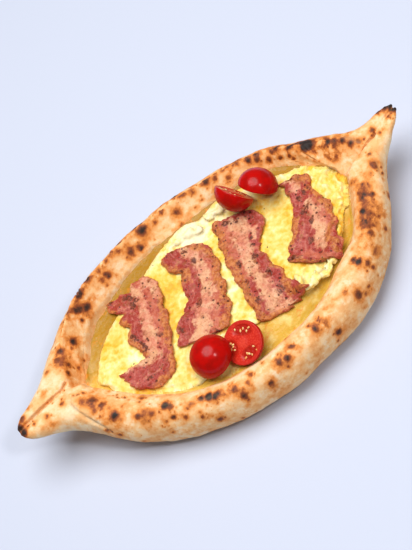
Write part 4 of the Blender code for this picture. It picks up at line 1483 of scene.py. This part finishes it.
def scatter_tree(finish):
    """A tree that sets one grain on each point, turned by the directions kept there."""
    tree = bpy.data.node_groups.new("grains", "GeometryNodeTree")
    face = tree.interface
    face.new_socket("Points", in_out="INPUT", socket_type="NodeSocketGeometry")
    for name in ("Length", "Width", "Thickness", "Variation"):
        face.new_socket(name, in_out="INPUT", socket_type="NodeSocketFloat")
    face.new_socket("Seed", in_out="INPUT", socket_type="NodeSocketInt")
    face.new_socket("Grains", in_out="OUTPUT", socket_type="NodeSocketGeometry")
    node, link = tree.nodes.new, tree.links.new
    given, result = node("NodeGroupInput"), node("NodeGroupOutput")
    points, grain = node("GeometryNodeMeshToPoints"), node("GeometryNodeMeshIcoSphere")
    grain.inputs["Radius"].default_value = 0.5
    grain.inputs["Subdivisions"].default_value = 2
    link(given.outputs["Points"], points.inputs["Mesh"])
    shape, spread = node("ShaderNodeCombineXYZ"), node("FunctionNodeRandomValue")
    for axis, name in zip("XYZ", ("Length", "Width", "Thickness")):
        link(given.outputs[name], shape.inputs[axis])
    less, more = node("ShaderNodeMath"), node("ShaderNodeMath")
    less.operation, more.operation = "SUBTRACT", "ADD"
    for sum_node in (less, more):
        sum_node.inputs[0].default_value = 1.0
        link(given.outputs["Variation"], sum_node.inputs[1])
    low, high = [s for s in spread.inputs if s.type == "VALUE" and s.name in ("Min", "Max")]
    link(less.outputs[0], low)
    link(more.outputs[0], high)
    link(given.outputs["Seed"], spread.inputs["Seed"])
    scaled = node("ShaderNodeVectorMath")
    scaled.operation = "SCALE"
    link(shape.outputs[0], scaled.inputs[0])
    link(next(s for s in spread.outputs if s.type == "VALUE" and s.enabled), scaled.inputs["Scale"])
    turned = None
    for name, axis in (("up", "Z"), ("aim", "X")):
        kept, align = node("GeometryNodeInputNamedAttribute"), node("FunctionNodeAlignRotationToVector")
        kept.data_type, align.axis = "FLOAT_VECTOR", axis
        align.pivot_axis = "AUTO" if axis == "Z" else "Z"
        kept.inputs["Name"].default_value = name
        link(next(s for s in kept.outputs if s.name == "Attribute" and s.enabled), align.inputs["Vector"])
        if turned:
            link(turned, align.inputs["Rotation"])
        turned = align.outputs[0]
    placed, real = node("GeometryNodeInstanceOnPoints"), node("GeometryNodeRealizeInstances")
    smooth_faces, painted = node("GeometryNodeSetShadeSmooth"), node("GeometryNodeSetMaterial")
    painted.inputs["Material"].default_value = finish
    link(grain.outputs[0], placed.inputs["Instance"])
    link(turned, placed.inputs["Rotation"])
    link(scaled.outputs[0], placed.inputs["Scale"])
    chain = (points, placed, smooth_faces, real, painted, result)
    for before, after in zip(chain, chain[1:]):
        link(before.outputs[0], after.inputs[0])
    return tree


def scatter(name, rows, finish, slot, **sizes):
    """One mesh of grains: rows of place, outward direction and pointing direction."""
    mesh = bpy.data.meshes.new(name)
    mesh.from_pydata([Vector(place) * MM for place, _, _ in rows], [], [])
    for kept, column in (("up", 1), ("aim", 2)):
        made = mesh.attributes.new(kept, "FLOAT_VECTOR", "POINT")
        made.data.foreach_set("vector", np.array([row[column] for row in rows]).ravel())
    model = bpy.data.objects.new(name, mesh)
    bpy.context.scene.collection.objects.link(model)
    nodes = model.modifiers.new("grains", "NODES")
    nodes.node_group = scatter_tree(finish)
    for item in nodes.node_group.interface.items_tree:
        if item.name in sizes:
            nodes[item.identifier] = sizes[item.name]
    model.update_tag()
    finished(name, made_real(model), finish, [])


class TomatoOperator(bpy.types.Operator):
    """Set the tomato halves and their seeds"""

    bl_idname = "khachapuri.tomatoes"
    bl_label = "Tomatoes"

    def execute(self, context):
        look = context.scene.khachapuri_tomato
        finish = tomato_finish(look)
        for name in HALVES:
            finished(name + "_half", tomato_mesh(name, look), finish, [name])
        made = Finish("tomato_seed", Subsurface_Weight=0.1, Subsurface_Scale=0.001, Roughness=0.3)
        kernel = made.mix(made.range(made.noise(1.2, 2), 0.4, 0.6), look.kernel, SEED_COAT)
        length = look.seed_length * MM
        scatter(
            "tomato_seeds",
            seed_places(),
            made.done(kernel),
            "tomato",
            Length=length,
            Width=0.62 * length,
            Thickness=0.45 * length,
            Variation=0.15,
            Seed=1,
        )
        return {"FINISHED"}


class PepperOperator(bpy.types.Operator):
    """Grind pepper over the bacon and the omelette"""

    bl_idname = "khachapuri.pepper"
    bl_label = "Pepper"

    def execute(self, context):
        look = context.scene.khachapuri_bacon
        chance = np.random.default_rng(look.seed)
        beds = [name for name in DRESSED if name.endswith("_fried")] + ["omelette_soft"]
        trees = [search_tree(DRESSED[bed].data) for bed in beds]
        places = []
        for rungs in RASHERS.values():
            for place in flowing(rungs, look.specks)[1:-1]:
                share = 0.5 + 0.42 * chance.uniform(-1, 1)
                places.append(place[:2] * (1 - share) + place[2:] * share + chance.normal(size=2))
        low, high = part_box("omelette")
        for _ in range(look.specks):
            spread = [0.08 + 0.84 * chance.random() for _ in range(2)]
            places.append([(low[k] * (1 - spread[k]) + high[k] * spread[k]) / MM for k in (0, 1)])
        rows = []
        for x, y in places:
            hits = [tree.ray_cast(Vector((x, y, ABOVE)), Vector((0, 0, -1))) for tree in trees]
            hits = [hit for hit in hits if hit[0]]
            if hits:
                hit = max(hits, key=lambda found: found[0].z)
                rows.append((hit[0], hit[1], chance.normal(size=3)))
        made = Finish("ground_pepper", Roughness=0.6)
        husk = made.ramp(made.noise(0.7, 2), (0.35, DARK_HUSK), (0.7, LIGHT_HUSK))
        grain = look.pepper * 2 * MM
        scatter(
            "pepper_specks",
            rows,
            made.done(husk),
            "bacon",
            Length=1.1 * grain,
            Width=0.8 * grain,
            Thickness=0.55 * grain,
            Variation=0.45,
            Seed=look.seed,
        )
        return {"FINISHED"}


# ---- Stage ----


class StageOperator(bpy.types.Operator):
    """Set up the table, the soft lights and the camera"""

    bl_idname = "khachapuri.stage"
    bl_label = "Stage"

    def soft_light(self, name, place, width, power):
        """A round light that looks at the middle of the boat."""
        lamp = bpy.data.lights.new(name, "AREA")
        lamp.shape = "DISK"
        lamp.size = width
        lamp.energy = power
        made = bpy.data.objects.new(name, lamp)
        made.location = place
        made.rotation_mode = "QUATERNION"
        made.rotation_quaternion = (-Vector(place)).to_track_quat("-Z", "Y")
        bpy.context.scene.collection.objects.link(made)

    def execute(self, context):
        look = context.scene.khachapuri_stage
        scene = context.scene
        scene.view_settings.view_transform = "Standard"
        tilt = look.elevation
        target = Vector((-0.0036, -0.0003, 0.040))  # close to the middle of the filling
        back = Vector((0, -math.cos(tilt), math.sin(tilt)))
        right, up = Vector((1, 0, 0)), Vector((0, math.sin(tilt), math.cos(tilt)))
        lens = bpy.data.cameras.new("camera")
        lens.lens = look.lens
        camera = bpy.data.objects.new("camera", lens)
        turn = Matrix((right, up, back)).transposed() @ Matrix.Rotation(-look.roll, 3, "Z")
        camera.matrix_world = Matrix.Translation(target + look.distance * back) @ turn.to_4x4()
        scene.collection.objects.link(camera)
        scene.camera = camera
        half, gap = 3.0, 0.2 * MM
        corners = [(-half, -half), (half, -half), (half, half), (-half, half)]
        ground = bpy.data.meshes.new("table")
        ground.from_pydata([(x, y, -gap) for x, y in corners], [], [(0, 1, 2, 3)])
        made = Finish("pale_table", Roughness=0.9, Specular_IOR_Level=0.1)
        ground.materials.append(made.done(look.floor))
        table = bpy.data.objects.new("table", ground)
        scene.collection.objects.link(table)
        lean, height = math.radians(7), 1.5
        overhead = (0, height * math.sin(lean), height * math.cos(lean))
        beside_camera = (0.36, -0.62, 1.0)
        self.soft_light("key", overhead, 1.4, look.key)
        self.soft_light("fill", beside_camera, 0.16, look.fill)
        sky = bpy.data.worlds.new("sky")
        sky.use_nodes = True
        around = sky.node_tree.nodes["Background"]
        around.inputs["Color"].default_value = (0.88, 0.94, 1.0, 1)
        around.inputs["Strength"].default_value = look.sky
        scene.world = sky
        return {"FINISHED"}


# ---- Add-on ----

OPERATORS = (
    StageOperator,
    CrustOperator,
    CheeseOperator,
    OmeletteOperator,
    BaconOperator,
    TomatoOperator,
    PepperOperator,
)
LOOKS = {
    "khachapuri_stage": KhachapuriStage,
    "khachapuri_crust": KhachapuriCrust,
    "khachapuri_filling": KhachapuriFilling,
    "khachapuri_bacon": KhachapuriBacon,
    "khachapuri_tomato": KhachapuriTomato,
}


class KhachapuriPanel(bpy.types.Panel):
    """The pieces of the khachapuri, with their sizes and colours"""

    bl_idname = "VIEW3D_PT_khachapuri"
    bl_label = "Khachapuri"
    bl_space_type = "VIEW_3D"
    bl_region_type = "UI"
    bl_category = "Khachapuri"

    def draw(self, context):
        """A button for each piece, then its sizes and colours."""
        for kind in OPERATORS:
            self.layout.operator(kind.bl_idname)
        for name, group in LOOKS.items():
            box = self.layout.box()
            for prop in group.__annotations__:
                box.prop(getattr(context.scene, name), prop)


def register():
    """Adds the classes, and each group of properties to the scene."""
    for kind in (*LOOKS.values(), *OPERATORS, KhachapuriPanel):
        bpy.utils.register_class(kind)
    for name, group in LOOKS.items():
        setattr(bpy.types.Scene, name, PointerProperty(type=group))


def unregister():
    """Takes away what register added."""
    for name in LOOKS:
        delattr(bpy.types.Scene, name)
    for kind in reversed((*LOOKS.values(), *OPERATORS, KhachapuriPanel)):
        bpy.utils.unregister_class(kind)


def main():
    """Makes every piece in order."""
    register()
    for kind in OPERATORS:
        group, name = kind.bl_idname.split(".")
        getattr(getattr(bpy.ops, group), name)()


if __name__ == "__main__":
    main()
